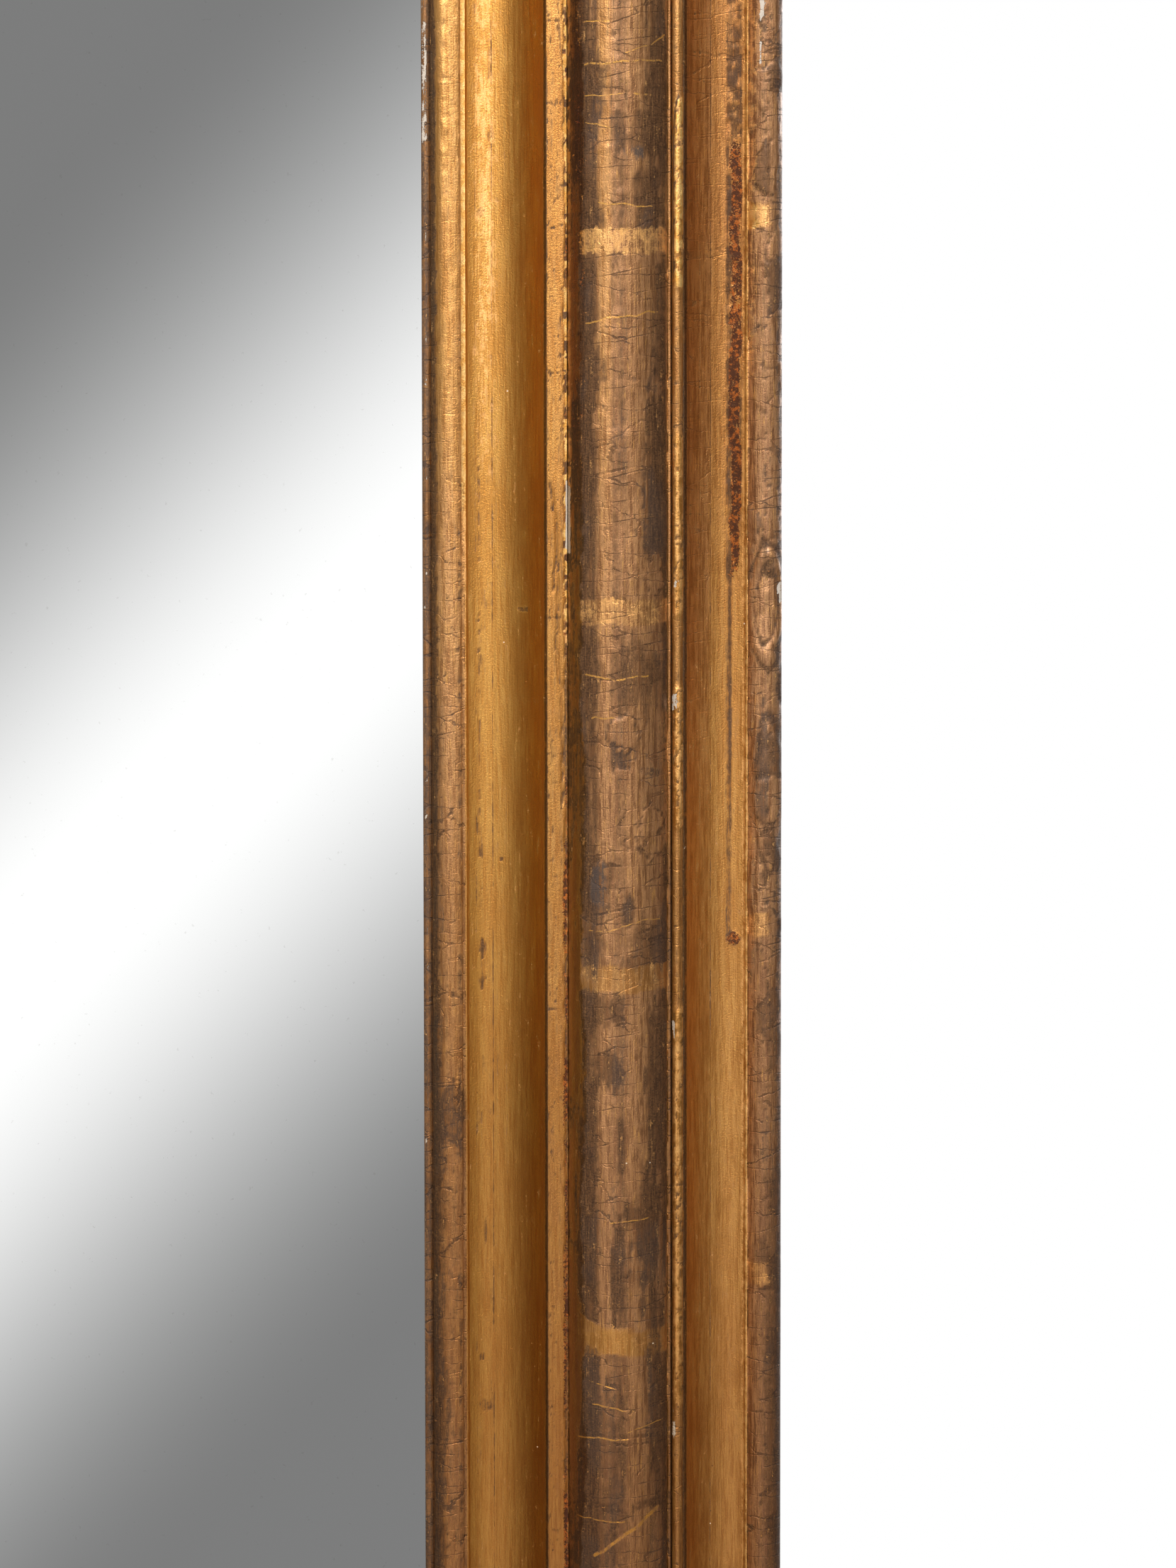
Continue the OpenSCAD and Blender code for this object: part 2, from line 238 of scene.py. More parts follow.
def slow_tone(u, w, seed, side):
    """Slow changes of tone: darker and browner low down, partly painted shade, partly dust and hands."""
    height = {"right": w, "left": -w, "top": SIGHT_Z, "bottom": -SIGHT_Z}[side]
    return 0.9 - 0.6 * fall(height, -230, 60) + 0.3 * (layered(u / 60 + 3, w / 90, seed, 3) - 0.5)


def flakes(u, w, cell_u, cell_w, seed):
    """Irregular scales: how far each place is from the scale's border, and a number for each scale."""
    su = u / cell_u + 0.35 * (noise(u / 3, w / 3, seed + 5) - 0.5)
    sw = w / cell_w + 0.35 * (noise(u / 3 + 9, w / 3, seed + 6) - 0.5)
    iu, iw = np.floor(su).astype(np.int64), np.floor(sw).astype(np.int64)
    best, second, scale = np.full_like(u, 9), np.full_like(u, 9), np.zeros_like(u)
    for du in (-1, 0, 1):
        for dw in (-1, 0, 1):
            cu, cw = iu + du, iw + dw
            pick = lattice(cu, cw, seed)
            middle_w = cw + 0.15 + 0.7 * lattice(cu, cw, seed + 1)
            d = np.hypot(su - (cu + 0.15 + 0.7 * pick), sw - middle_w)
            second = np.where(d < best, best, np.minimum(second, d))
            scale = np.where(d < best, pick, scale)
            best = np.minimum(best, d)
    return second - best, scale


def inner_wear(c, u, w, seed, shot):
    cloud = clouds(u, w, seed)
    bead = band(u, *INNER_BEAD, 0.15)
    # the bead: peach-brown and worn, with fine cracks across it
    c.worn += bead * (0.55 + 0.35 * cloud(2.5, 30, 2))
    # the bead's left flank, towards the glass, is dark up to a ragged edge: flaked gilding, darkened
    # further as painted shade
    c.grime += bead * fall(u + ragged(u, w, seed + 10, 1.6, 1.4), 2.9, 3.5) * 0.75
    crack, scale = flakes(u, w, 5, 3.6, seed + 11)
    c.lift += band(u, 3, 8, 0.2) * 0.07 * scale * step(crack, 0, 0.1)
    c.grime += bead * 0.35 * fall(crack, 0, 0.07)
    # the lip: dark and grey, with pale chips on its crest
    lip = band(u, *LIP, 0.15)
    c.worn += lip * 0.8
    c.grime += lip * (0.52 + 0.5 * (cloud(1.2, 9, 3) - 0.5))
    c.smoke += lip * 0.6
    c.gesso += band(u, 0.2, 1.2, 0.1) * step(cloud(1.1, 3.5, 4, 3), 0.66, 0.72) * 0.5
    # a dark flecked line where the bead meets the hollow
    c.grime += band(u, 7.5, 8.32, 0.1) * (0.05 + 0.5 * step(cloud(0.8, 2.2, 7, 3), 0.48, 0.6))
    # painted shade: deeper amber on the bead's left flank and on the hollow's walls, most on its steep
    # right wall; also patina in the recess
    c.glaze += bead * fall(u, 2.6, 4) * 0.6 + band(u, 9.4, 11.4, 0.5) * 0.15
    c.glaze += step(u, 16.5, 25.5) * fall(u, 26.35, 26.45)
    # the tool line in the hollow, and the dirt beside it
    c.lift -= 0.16 * bell(u - 14.9, 0.28)
    c.grime += 0.12 * bell(u - 15, 0.35) * step(noise(0, w / 14, seed + 8), 0.3, 0.6)
    c.grime += band(u, 10.5, 16.5, 1) * step(cloud(1.6, 5, 9), 0.6, 0.74) * 0.28
    # the fillet: fine specks, and a ragged outer edge with bright specks of leaf
    fillet = band(u, *FILLET, 0.1)
    crack, scale = flakes(u, w, 3.4, 26, seed + 21)
    c.grime += fillet * 0.3 * fall(crack, 0, 0.025)
    c.grime += fillet * (0.04 + 0.4 * step(cloud(0.6, 0.8, 25, 3), 0.64, 0.74))
    c.worn += fillet * (0.1 + 0.3 * cloud(1.5, 6, 26))
    c.tone -= fillet * 0.15
    seam = 29.4 + 0.9 * (layered(0, w / 5, seed + 27, 3) - 0.5)
    seam = bell(u - seam, 0.18) * step(noise(0, w / 8, seed + 28), 0.35, 0.55)
    c.grime += 0.3 * seam
    edge = 30.1 + 0.45 * (layered(0, w / 2.6, seed + 22, 3) - 0.5) * 2
    torn = step(u, edge - 0.15, edge + 0.15) * step(u, 28.5, 28.8)
    c.grime += torn * 0.75
    c.lift -= torn * 0.22
    c.leaf += torn * step(cloud(0.9, 1.3, 23, 2), 0.44, 0.54) * 1.3
    c.bole += torn * step(cloud(2, 7, 24), 0.45, 0.6) * 0.5
    # painted shade: a dark line along the top of the hollow's steep wall, under the fillet's edge
    c.grime += band(u, 25.9, 26.55, 0.15) * 0.9


def crown_wear(u):
    """How dark the torus is across its round: worn on the crown, bright to both sides of it."""
    return np.interp(u, (33, 34.4, 36.6, 37.6, 39.4, 40.6, 42.6, 44, 46, 48.4, 51, 51.6),
                     (0, 0.62, 0.56, 0.04, 0.02, 0.3, 0.34, 0.05, 0.1, 0.22, 0.22, 0))


def torus_wear(c, u, w, seed, shot):
    cloud = clouds(u, w, seed)
    body = band(u, *TORUS, 0.1)
    c.worn += body * 0.9
    # dark patches, drawn out along the length and streaked
    patch = cloud(7.5, 34, 2)
    streak = cloud(0.9, 16, 3, 3)
    angle = np.clip((u - 41.3) / 10.4, -1, 1)
    dark = step(patch + 0.25 * (streak - 0.5) + 0.1 * np.abs(angle), 0.48, 0.64)
    c.grime += body * dark * 0.5
    # the flanks are darker than the two sides of the crown, and amber beside the fillet
    c.grime += body * crown_wear(u) * (0.6 + 0.8 * streak)
    sway = 1.2 * (noise(0, w / 18, seed + 6) - 0.5)
    flank = body * fall(u + sway + ragged(u, w, seed + 4, 2, 1.4), 33.8, 34.2)
    c.grime += 0.3 * band(flank, 0.25, 0.75, 0.15)
    c.lift -= 0.1 * flank
    c.glaze += flank
    c.worn -= flank * 0.85
    c.tone -= flank * 0.35
    c.grime += flank * (0.5 * cloud(1.2, 8, 5) - 0.22)
    crack, scale = flakes(u, w, 6.5, 4, seed + 12)
    c.grime += body * 0.22 * fall(crack, 0, 0.08) * step(noise(u / 8, w / 12, seed + 13), 0.4, 0.6)
    c.lift += body * 0.08 * scale * step(crack, 0, 0.12)
    c.lift += body * 0.1 * (cloud(4, 9, 14) - 0.5)
    plate = cloud(3.5, 6, 16)
    c.lift += body * 0.07 * step(plate, 0.5, 0.53)
    c.grime += body * 0.35 * band(plate, 0.492, 0.512, 0.006)
    # laps of the leaf, one to each sheet
    for here, leaf, clean in leaf_laps(w, shot):
        torn = 1.8 * (layered(u / 5, here, seed + 15) - 0.5)
        torn += 1.3 * (cloud(1.1, 3, 17) - 0.5)
        on = band(w + torn, here - LAP_HALF, here + LAP_HALF, 0.18)
        on = on * step(u, 32.6, 34.2) * body
        c.leaf += on * leaf * (0.3 + 0.22 * cloud(1.3, 4, 18))
        c.worn *= 1 - clean * on
        c.lift *= 1 - 0.7 * on
        c.grime *= 1 - 0.85 * on
    # narrow shoulder
    shoulder = band(u, *SHOULDER, 0.05)
    c.worn += shoulder * 0.8
    c.grime += band(u, 52.5, 53, 0.06) * 0.8


# How much leaf and how little wear each lap shows, from the top of the picture down
LAP_LEAF = (1, 0.75, 0.42, 0.15)
LAP_CLEAN = (0, 0.15, 0.4, 0.5)
# A lap that the photograph doesn't show is weaker by one of these
LAP_ELSEWHERE = (0.5, 0.22, 0.36)
LEAF_PITCH = 76.9
LAP_HALF = 2.7
FIRST_LAP = 53.2


def leaf_laps(w, shot):
    """Where one sheet of leaf laps the next: the place w, how much leaf shows, and how clean it is."""
    first = SHOT_TOP - FIRST_LAP if shot else 41
    low = math.floor((float(w.min()) - first) / LEAF_PITCH)
    high = math.ceil((float(w.max()) - first) / LEAF_PITCH)
    for k in range(low, high):
        share = 1 if shot and -3 <= k <= 0 else LAP_ELSEWHERE[k % 3]
        yield first + LEAF_PITCH * k, share * LAP_LEAF[-k % 4], LAP_CLEAN[-k % 4]


def outer_wear(c, u, w, seed, shot):
    cloud = clouds(u, w, seed)
    # small bead: bright in broken lengths
    small = band(u, *SMALL_BEAD, 0.1)
    bright = step(layered(1, w / 24, seed + 2, 3), 0.42, 0.52)
    c.leaf += small * bright * 0.45
    c.worn += small * (1 - bright) * 0.8
    c.grime += small * ((1 - bright) * 0.25 + 0.4 * step(cloud(0.7, 1.1, 9, 3), 0.56, 0.68))
    # painted shadow: a dark line in the step down from the small bead into the hollow
    c.grime += band(u, 54.95, 56, 0.15) * 0.85
    hollow = band(u, *OUTER_HOLLOW, 0.1)
    c.tone -= hollow * 0.1
    c.worn += hollow * 0.25
    # painted shade: deeper amber on the hollow's steep left wall
    c.glaze += hollow * fall(u, 57, 62.5) * 0.25
    # hollow: a band of grime on its floor, with red clay in places
    fleck = cloud(1.1, 3.2, 3)
    run = step(layered(2, w / 60, seed + 4, 2), 0.35, 0.6)
    strip = band(u, 63.3, 66.9, 0.5)
    c.grime += strip * step(fleck, 0.44, 0.6) * (0.25 + 0.45 * run)
    c.bole += band(u, 64.9, 66.9, 0.4) * run * step(cloud(0.9, 4, 5), 0.5, 0.62) * 0.5
    c.leaf += band(u, 68, 69.1, 0.12) * 0.5
    c.lift += strip * 0.12 * (fleck - 0.5) * run
    c.lift -= 0.1 * bell(u - 61, 0.25)
    # outer bead: dull brown, layered and flaking
    bead = band(u, *OUTER_BEAD, 0.12)
    flank = (u - 72.7) / 3.5
    crack, scale = flakes(u, w, 2.7, 9, seed + 7)
    c.worn += bead * 0.95
    c.tone += bead * 0.25
    c.grime += bead * (0.05 + 0.36 * step(scale, 0.7, 0.74) + 0.4 * fall(crack, 0, 0.07))
    # painted shade: the bead's right flank, turned away from the hollow, is darker
    c.grime += bead * (step(flank, 0.45, 0.85) * 0.42 + 0.18 * band(flank, -0.35, 0.5, 0.2))
    c.lift += bead * 0.34 * scale * step(crack, 0, 0.1)
    # painted shade: the right flank's darkening is greyer
    c.smoke += bead * step(flank, 0.3, 0.7) * 0.5


# --- marks that the photograph shows


def shot_down(w, spread):
    """How far down the picture a place lies, in mm at the depth of the frame's edge."""
    return SHOT_LONG / 2 + (SHOT_TOP - w - SHOT_LONG / 2) * spread


def in_shot(d):
    """1 in the stretch that the photograph shows, and a little past it."""
    return step(d, -6, -2) * fall(d, 336, 342)


def ragged(u, d, seed, fine=2.2, size=1):
    """A jitter in mm that makes a mark's edge ragged."""
    return size * (layered(u / fine, d / fine, seed, 3) - 0.5)


def oval(u, d, middle_u, middle_d, half_u, half_d):
    """0 in the middle of an oval, 1 on its border."""
    return np.hypot((u - middle_u) / half_u, (d - middle_d) / half_d)


def blot(u, d, spot, seed, size=1, stretch=3):
    """A ragged oval: spot = u and d of its middle, its half width and its half height."""
    jitter = layered(u / 1.6, d / (1.6 * stretch), seed) - 0.5
    return fall(oval(u, d, *spot) + size * 0.9 * jitter, 0.75, 1.05)


def crack_line(u, d, points, seed, wide=0.35):
    """A wandering line through points (u, d) from the top down."""
    pu, pd = zip(*points)
    here = np.interp(d, pd, pu) + 0.5 * (noise(1, d / 1.7, seed) - 0.5)
    return bell(u - here, wide) * band(d, pd[0], pd[-1], 0.6)


# Dark places on the torus: u and d of the middle, half width and half height in mm, and strength
TORUS_DARK = (
    (35.8, 18, 2, 7.5, 0.75), (38.6, 19, 1.4, 5, 0.45), (50.2, 19, 2.8, 22, 0.8),
    (46.6, 29.5, 5.2, 4.6, 0.7), (47.5, 42.3, 3.2, 7.5, 0.8), (36.3, 46.5, 2.2, 4.5, 0.8),
    (50.2, 71, 2.2, 15, 0.6), (35.4, 66, 1.4, 10, 0.5), (36.6, 79, 2.4, 5, 0.75),
    (33.8, 100, 2.6, 18, 0.75), (49.9, 102, 2.8, 21, 1), (46, 143, 5.2, 8, 0.65),
    (35.6, 143, 1.9, 8, 0.55), (42.4, 157, 4, 4.8, 0.65), (37.2, 189, 2.9, 6.5, 0.75),
    (43.9, 192.7, 1.4, 4, 0.85), (47, 202, 3.6, 6.5, 0.65), (37, 201, 1.9, 6, 0.55),
    (37.8, 214.5, 4.4, 4.2, 0.6), (40.1, 228, 2.9, 4.4, 0.8), (49.2, 232, 2, 20, 0.75),
    (34.6, 241, 1.9, 11, 0.6), (42, 243.6, 0.8, 6.5, 0.7), (34.4, 264, 2.2, 15, 0.45),
    (41.2, 271, 1.8, 8.5, 0.85), (47.3, 262, 3.6, 13.5, 0.85), (49.3, 296, 1.6, 23, 0.75),
    (38, 313, 4.4, 24, 0.6),
)
# Smoky places and torn islands of brown gilding on it: the first four of those numbers
SMOKY = ((44.6, 32.5, 2.4, 2), (37.4, 188, 2.2, 5.5))
ISLANDS = ((49, 122, 1.9, 5.6), (42.5, 155, 3.4, 4.4), (48, 176, 2.8, 6.5), (36.6, 89, 0.8, 2.4))

# Dirt on the inner strip: all five numbers
INNER_DIRT = (
    (14.6, 30, 0.8, 3.8, 0.5), (14.4, 13.5, 0.7, 6, 0.4), (12.6, 46, 0.9, 1.4, 0.5),
    (12.6, 203, 0.7, 2.2, 0.55), (12.5, 210, 0.7, 1.8, 0.5), (12.3, 182, 0.7, 2, 0.4),
    (13, 264, 0.5, 3.5, 0.6), (13, 302, 1.6, 1.5, 0.5), (21.4, 130, 1.3, 0.9, 0.6),
    (16.7, 183.6, 0.5, 0.6, 0.8), (12.2, 291.6, 0.5, 1, 0.7), (4.5, 300, 1.2, 12, 0.35),
)
# A thin drip in the hollow and two long cracks of the fillet, as points (u, d) from the top down
DRIP = ((12.2, 168), (11.6, 176), (12.8, 186), (12, 196), (12.9, 206), (12.4, 214))
FILLET_SPLIT = ((27.2, 103), (28.2, 110), (28.8, 118), (27.6, 126))
FILLET_SEAM = ((28.8, 119), (28.9, 130), (28.4, 136), (29.6, 150), (29.8, 171))
# The cracks right across the fillet, each by its d
FILLET_CRACKS = (5.8, 23.1, 48.8, 79.4, 131, 160, 214)

# The small bead is bright in these stretches, from d to d, and chipped to the chalk at these spots
LIT = ((21.5, 62), (93, 131), (146, 176), (214, 300))
SMALL_CHIPS = ((53.6, 124, 0.6, 1.2), (53.6, 149.5, 0.7, 2.2), (53.2, 219, 0.4, 3), (53.2, 305, 0.5, 3))
OUTER_CHIPS = ((71.8, 3, 1, 3.4), (75.6, 126, 0.5, 3), (71.6, 12, 0.4, 2))
# The laps on the outer bead: d of the middle, and how bright
OUTER_LAPS = ((46.2, 0.42), (197.5, 0.31), (273, 0.3))


def inner_marks(c, u, d):
    cloud = clouds(u, d)
    here = in_shot(d)
    # peach scales at the top of the bead, and the bright edge beside the hollow
    top = here * fall(d, 50, 150)
    ridge = band(u, 8.33, 9.27, 0.02)
    c.leaf += (0.25 + 0.65 * top) * here * ridge * fall(d, 150, 190)
    c.worn *= 1 - top * (0.8 * ridge + 0.5 * band(u, 3, 8.4, 0.4))
    # painted light: the bead and the hollow are lighter towards the top; on the bead less of the dark coat
    # shows there
    c.tone += 0.3 * here * fall(d, 60, 200) * band(u, 2.5, 16, 0.5)
    c.grime *= 1 - 0.6 * here * fall(d, 40, 160) * band(u, 3.4, 8.5, 0.4)
    loose = step(u, 2.9, 3.2) * fall(u + ragged(u, d, 41, 1.6, 1.6), 4.9, 5.2)
    c.lift += 0.22 * loose * here * fall(d, 30, 60)
    # below the middle the bead's left flank stays dark, with one olive stain right across
    stain = blot(u, d, (5.6, 239, 3.4, 7.5), 44, 1.6) * 0.5
    wide = step(d, 120, 200) * fall(u + ragged(u, d, 45, 2, 1.6), 4, 4.8) * step(u, 2, 2.2)
    c.grime += here * (wide * 0.5 * (0.5 + cloud(1.2, 9, 46)) + stain)
    c.leaf += 0.12 * band(d, 293, 299.4, 0.3) * band(u, 3.6, 8.2, 0.3)
    # dirt in the hollow
    c.grime += 0.55 * crack_line(u, d, DRIP, 42, 0.4) * step(cloud(0.9, 1.6, 52), 0.36, 0.5)
    dotted = bell(u - 12.1, 0.35) * band(d, 89, 168, 2)
    c.grime += 0.6 * dotted * step(cloud(0.7, 1.3, 53), 0.46, 0.58)
    for *spot, much in INNER_DIRT:
        c.grime += much * blot(u, d, spot, 43)
    # the fillet's cracks
    for line_at in FILLET_CRACKS:
        across = bell(d - line_at - 0.8 * noise(u / 2, 0, 47), 0.22)
        c.grime += 0.6 * across * band(u, 26.5, 30.2, 0.2)
    wander = crack_line(u, d, FILLET_SPLIT, 48, 0.2) + crack_line(u, d, FILLET_SEAM, 49, 0.2)
    c.grime += 0.6 * wander
    c.lift -= 0.25 * wander
    # chalk laid bare on the fillet's outer edge, and red clay below
    c.gesso += band(u, 30.35, 31.2, 0.1) * band(d + ragged(u, d, 50, 2.5, 3), 103, 117, 0.5)
    red = band(u, 29.7, 31.2, 0.2) * step(d, 175, 190) * step(cloud(1.5, 9, 51), 0.36, 0.5)
    c.bole += red * here * 0.62
    lower = step(d, 110, 150) * band(u, 28.4, 31, 0.2)
    c.leaf *= 1 - 0.95 * lower
    c.grime *= 1 - 0.35 * lower
    smooth = here * step(d, 120, 190) * band(u, 3, 8.3, 0.5)
    c.lift *= 1 - 0.6 * smooth
    c.grime *= 1 - 0.35 * smooth
    c.grime += 0.08 * smooth + 0.14 * here * step(d, 190, 260) * band(u, 3, 8.3, 0.5)
    c.tone -= 0.12 * smooth
    # painted light: the bead's right flank, which faces the hollow, is lighter and brighter near the top,
    # for light thrown back from the hollow
    c.tone += 0.4 * top * band(u, 6.9, 8.4, 0.3)
    c.leaf += 0.22 * here * band(u, 7.1, 8.3, 0.3) * fall(d, 30, 75)
    # painted highlight: the crest of the hollow is paler and brighter at the top, in mottled patches
    c.leaf += band(u, 11.2, 15.8, 1.2) * here * fall(d, 40, 160) * (0.1 + 0.5 * cloud(1.6, 11, 88))
    # the hollow's left is amber low down; the sight edge is chalk-pale at the top, rubbed chalk and a
    # painted highlight
    amber = here * step(d, 130, 220) * band(u, 9.2, 12.4, 0.8)
    c.glaze += 0.32 * amber
    c.tone += 0.14 * amber
    rubbed = band(u, 0.1, 1.3, 0.2) * band(d + ragged(u, d, 54, 1.5, 6), 4, 34, 2)
    c.gesso += 0.54 * rubbed


def torus_marks(c, u, d):
    cloud = clouds(u, d)
    here = in_shot(d) * band(u, *TORUS, 0.1)
    # the random patches give way to the ones that are there
    c.grime *= 1 - 0.85 * here * band(u, 34, 50.6, 0.8)
    # painted highlight: the crown is less worn at the top, so brighter and shinier there
    c.worn -= 0.25 * band(u, *CROWN, 0.5) * here * fall(d, 30, 170)
    streak = cloud(0.55, 14, 61) - 0.5
    c.grime += here * crown_wear(u) * (0.8 + 1.6 * streak)
    blotch = cloud(2.6, 3.4, 62) - 0.5
    for *spot, much in TORUS_DARK:
        far = oval(u, d, *spot) + 1.8 * streak + blotch
        c.grime += much * 0.62 * here * fall(far, 0.7, 1.2) * fall(u, 51.2, 51.6)
    for spot in SMOKY:
        c.smoke += blot(u, d, spot, 64, 0.8)
    for spot in ISLANDS:
        island = blot(u, d, spot, 63, 1.2, 1.2)
        c.grime = np.where(island > 0.5, c.grime * 0.35, c.grime) + 0.45 * band(island, 0.2, 0.8, 0.15)
        c.lift += 0.25 * island
    # the fourth lap is swept up at its left end
    up = 0.3 * np.maximum(0, 39 - u) ** 1.3
    sweep = band(d + up, 283, 288.4, 0.3) * band(u, 32.2, 44.5, 0.8)
    c.leaf += 0.08 * sweep
    c.worn *= 1 - 0.5 * sweep
    c.grime *= 1 - 0.8 * sweep
    # the flank beside the fillet is darkest at the top, with torn gold leaf and chalk at its foot
    flank = here * fall(u - 0.5 * fall(d, 60, 110) + ragged(u, d, 65, 3, 1.2), 33.6, 34.4)
    c.bole += 0.5 * cloud(1, 4, 67) * step(u, 31.4, 31.8) * flank * fall(d, 90, 120)
    c.grime += 0.42 * flank * fall(d, 20, 110)
    c.tone -= 0.6 * flank * fall(d, 60, 130)
    shoulder = band(u, *SHOULDER, 0.05) * step(d, -6, -2)
    c.grime += 0.42 * shoulder * step(d, 150, 190) * fall(d, 336, 342)
    c.smoke += 0.6 * shoulder * fall(d, 110, 150)
    # painted highlight: the crown is lighter at the top
    c.tone += 0.16 * band(u, *CROWN, 0.5) * here * fall(d, 40, 120)
    foot = band(u, 30.5, 31.5, 0.15) * here * fall(d, 112, 118)
    c.glaze *= 1 - foot
    c.leaf += 1.1 * foot * step(cloud(0.6, 0.9, 66, 2), 0.5, 0.6)
    c.gesso += band(u, 30.5, 31.4, 0.15) * band(d + ragged(u, d, 50, 2.5, 3), 103, 117, 0.5)


def outer_marks(c, u, d):
    cloud = clouds(u, d)
    here = in_shot(d)
    small = band(u, *SMALL_BEAD, 0.1) * here
    # the small bead: bright in these stretches, brown between
    lit = np.zeros_like(u)
    for top, bottom in LIT:
        lit += band(d + ragged(u, d, 71, 1.2, 3), top, bottom, 0.8)
    specks = step(cloud(0.7, 1, 74, 3), 0.54, 0.66)
    lit = np.clip(lit, 0, 1)
    bright = (0.66 - 0.2 * step(d, 70, 90)) * lit * (1 - 0.7 * specks)
    c.leaf = c.leaf * (1 - small) + bright * small
    c.worn = c.worn * (1 - small) + (0.55 - 0.35 * lit) * small
    c.glaze += 0.25 * small * step(d, 60, 200)
    c.grime = c.grime * (1 - small) + (0.06 + 0.6 * specks * (0.35 + 0.65 * lit)) * small
    # a raised flake of it, outlined in dark
    rim = 53.1 + 1.1 * np.exp(-np.clip(d - 21.5, 0, 40) / 2.5)
    outline = bell(u - rim, 0.22) * band(d, 21.5, 60, 0.3)
    c.grime += small * outline
    c.leaf *= 1 - small * np.clip(outline, 0, 1)
    c.lift += small * 0.2 * lit * step(u, rim, rim + 0.3)
    for spot in SMALL_CHIPS:
        c.gesso += blot(u, d, spot, 72, 2.6, 1) * 0.62
    # the hollow is dullest at the top of the picture
    c.tone -= band(u, *OUTER_HOLLOW, 0.1) * here * (0.6 * fall(d, 20, 220) - 0.2)
    c.worn += band(u, 60.5, 69, 0.6) * here * 0.25 * fall(d, 30, 160)
    left = band(u, 55.4, 61, 0.6) * here * fall(d, 110, 210)
    c.worn += 0.35 * left
    c.glaze *= 1 - 0.9 * left
    # grime and red clay on the floor of the hollow
    right = np.interp(d, (0, 30, 80, 100, 125), (67.2, 67.9, 67.9, 67.7, 67.1))
    strip = band(u, 64.5, right + 0.3, 0.35) * here
    fleck = cloud(1.3, 2.6, 73)
    clear = band(u, 62.8, 67.8, 0.4) * here
    c.bole *= 1 - clear
    c.grime *= 1 - clear
    c.grime += strip * (0.3 + 0.5 * step(fleck, 0.35, 0.6)) * (0.9 * fall(d, 100, 135))
    red = band(d, 30, 122, 4) * band(u + 0.9 * (noise(0, d / 4, 70) - 0.5), 65.3, right - 0.1, 0.3)
    low = step(d, 72, 92)
    c.bole += red * (0.86 + 0.2 * low + 0.7 * (fleck - 0.5))
    c.grime += 0.45 * band(d, 34, 118, 6) * here * bell(u - 65.1, 0.35)
    c.grime *= 1 - 0.55 * red * (1 - low)
    c.worn *= 1 - 0.5 * red
    c.glaze += 0.55 * red * low
    c.lift += 0.3 * strip * (cloud(1, 1.1, 84, 3) - 0.5) * fall(d, 115, 130)
    thin = bell(u - 65 - 0.3 * noise(0, d / 6, 75), 0.42)
    smudge = 0.7 + 0.9 * cloud(0.8, 1.8, 87, 3)
    c.grime += (1 - 0.25 * step(d, 160, 180)) * thin * band(d, 118, 201, 2) * smudge
    blob = blot(u, d, (66, 201, 1.5, 1.6), 76, 0.5, 1)
    c.bole += 0.9 * blob
    c.grime += 0.35 * blob + 0.5 * band(blob, 0.15, 0.7, 0.1)
    c.lift += 0.12 * blob
    # the outer bead: layers of old gilding, and two lumps of a repair
    bead = band(u, *OUTER_BEAD, 0.12) * here
    lump = oval(u, d, 72.9, 129, 3.6, 12.4) + 0.22 * (noise(u / 1.5, d / 3, 77) - 0.5)
    c.grime *= 1 - 0.7 * bead * fall(lump, 0.9, 1)
    c.lift += bead * 0.36 * bell(lump - 0.84, 0.13)
    knot = blot(u, d, (72.8, 120, 2.4, 2.6), 78, 1, 1)
    c.lift += bead * 0.35 * knot * noise(u / 1.1, d / 1.1, 79)
    c.grime += bead * 0.25 * knot
    c.grime += bead * 0.7 * (bell(lump - 1.06, 0.06) + bell(lump - 0.64, 0.05))
    drip = oval(u, d, 73.2, 170, 3.2, 15) + 0.4 * (noise(u / 2, d / 4, 80) - 0.5)
    c.lift += bead * 0.35 * fall(drip, 0.75, 1)
    c.grime += bead * 0.55 * bell(drip - 1, 0.08)
    for middle, shine in OUTER_LAPS:
        lap = band(d + ragged(u, d, 81, 1.2, 1.6), middle - 2.6, middle + 2.6, 0.3)
        lap = lap * bead * fall(u + ragged(u, d, 85, 1.5, 2), 73.1, 73.7)
        c.leaf += shine * lap
        c.worn *= 1 - 0.25 * lap
        c.lift *= 1 - 0.7 * lap
        c.grime *= 1 - 0.8 * lap
    c.grime *= 1 - 0.4 * bead * step(d, 190, 230)
    c.grime += 0.3 * bead * step(d, 215, 290) * step(u, 71.2, 74)
    smooth = bead * step(d, 186, 210)
    c.lift *= 1 - 0.6 * smooth
    c.tone -= 0.25 * smooth
    c.grime += 0.09 * smooth
    # painted light: the bead's left flank, facing the hollow, is lighter, and bright as leaf near the top,
    # for light thrown back from the hollow
    pale = bead * fall(u, 70.4, 71.2) * step(d, 30, 90)
    c.grime *= 1 - 0.5 * pale
    c.tone += 0.14 * pale
    c.leaf += 0.36 * bead * fall(u + ragged(u, d, 86, 1.6, 2.4), 70.2, 70.9) * fall(d, 50, 110)
    for spot in OUTER_CHIPS:
        c.gesso += blot(u, d, spot, 82, 2.2) * 0.75


# --- mesh of one mitred strip


# How far apart the rings of vertices stand in the mitres, in mm
MITRE_STEP = 2.2


def ring_places(half, shot):
    """Places along a side: close together where the photograph looks."""
    fine, coarse, even = 0.55, 5, 2
    if not shot:
        return np.linspace(-half, half, int(2 * half / even) + 1)
    low, high = SHOT_TOP - SHOT_LONG - 6, SHOT_TOP + 6
    stretches = ((-half, low, coarse), (low, high, fine), (high, half, coarse))
    below, seen, above = (np.linspace(a, b, int((b - a) / gap) + 1) for a, b, gap in stretches)
    return np.r_[below[:-1], seen, above[1:]]


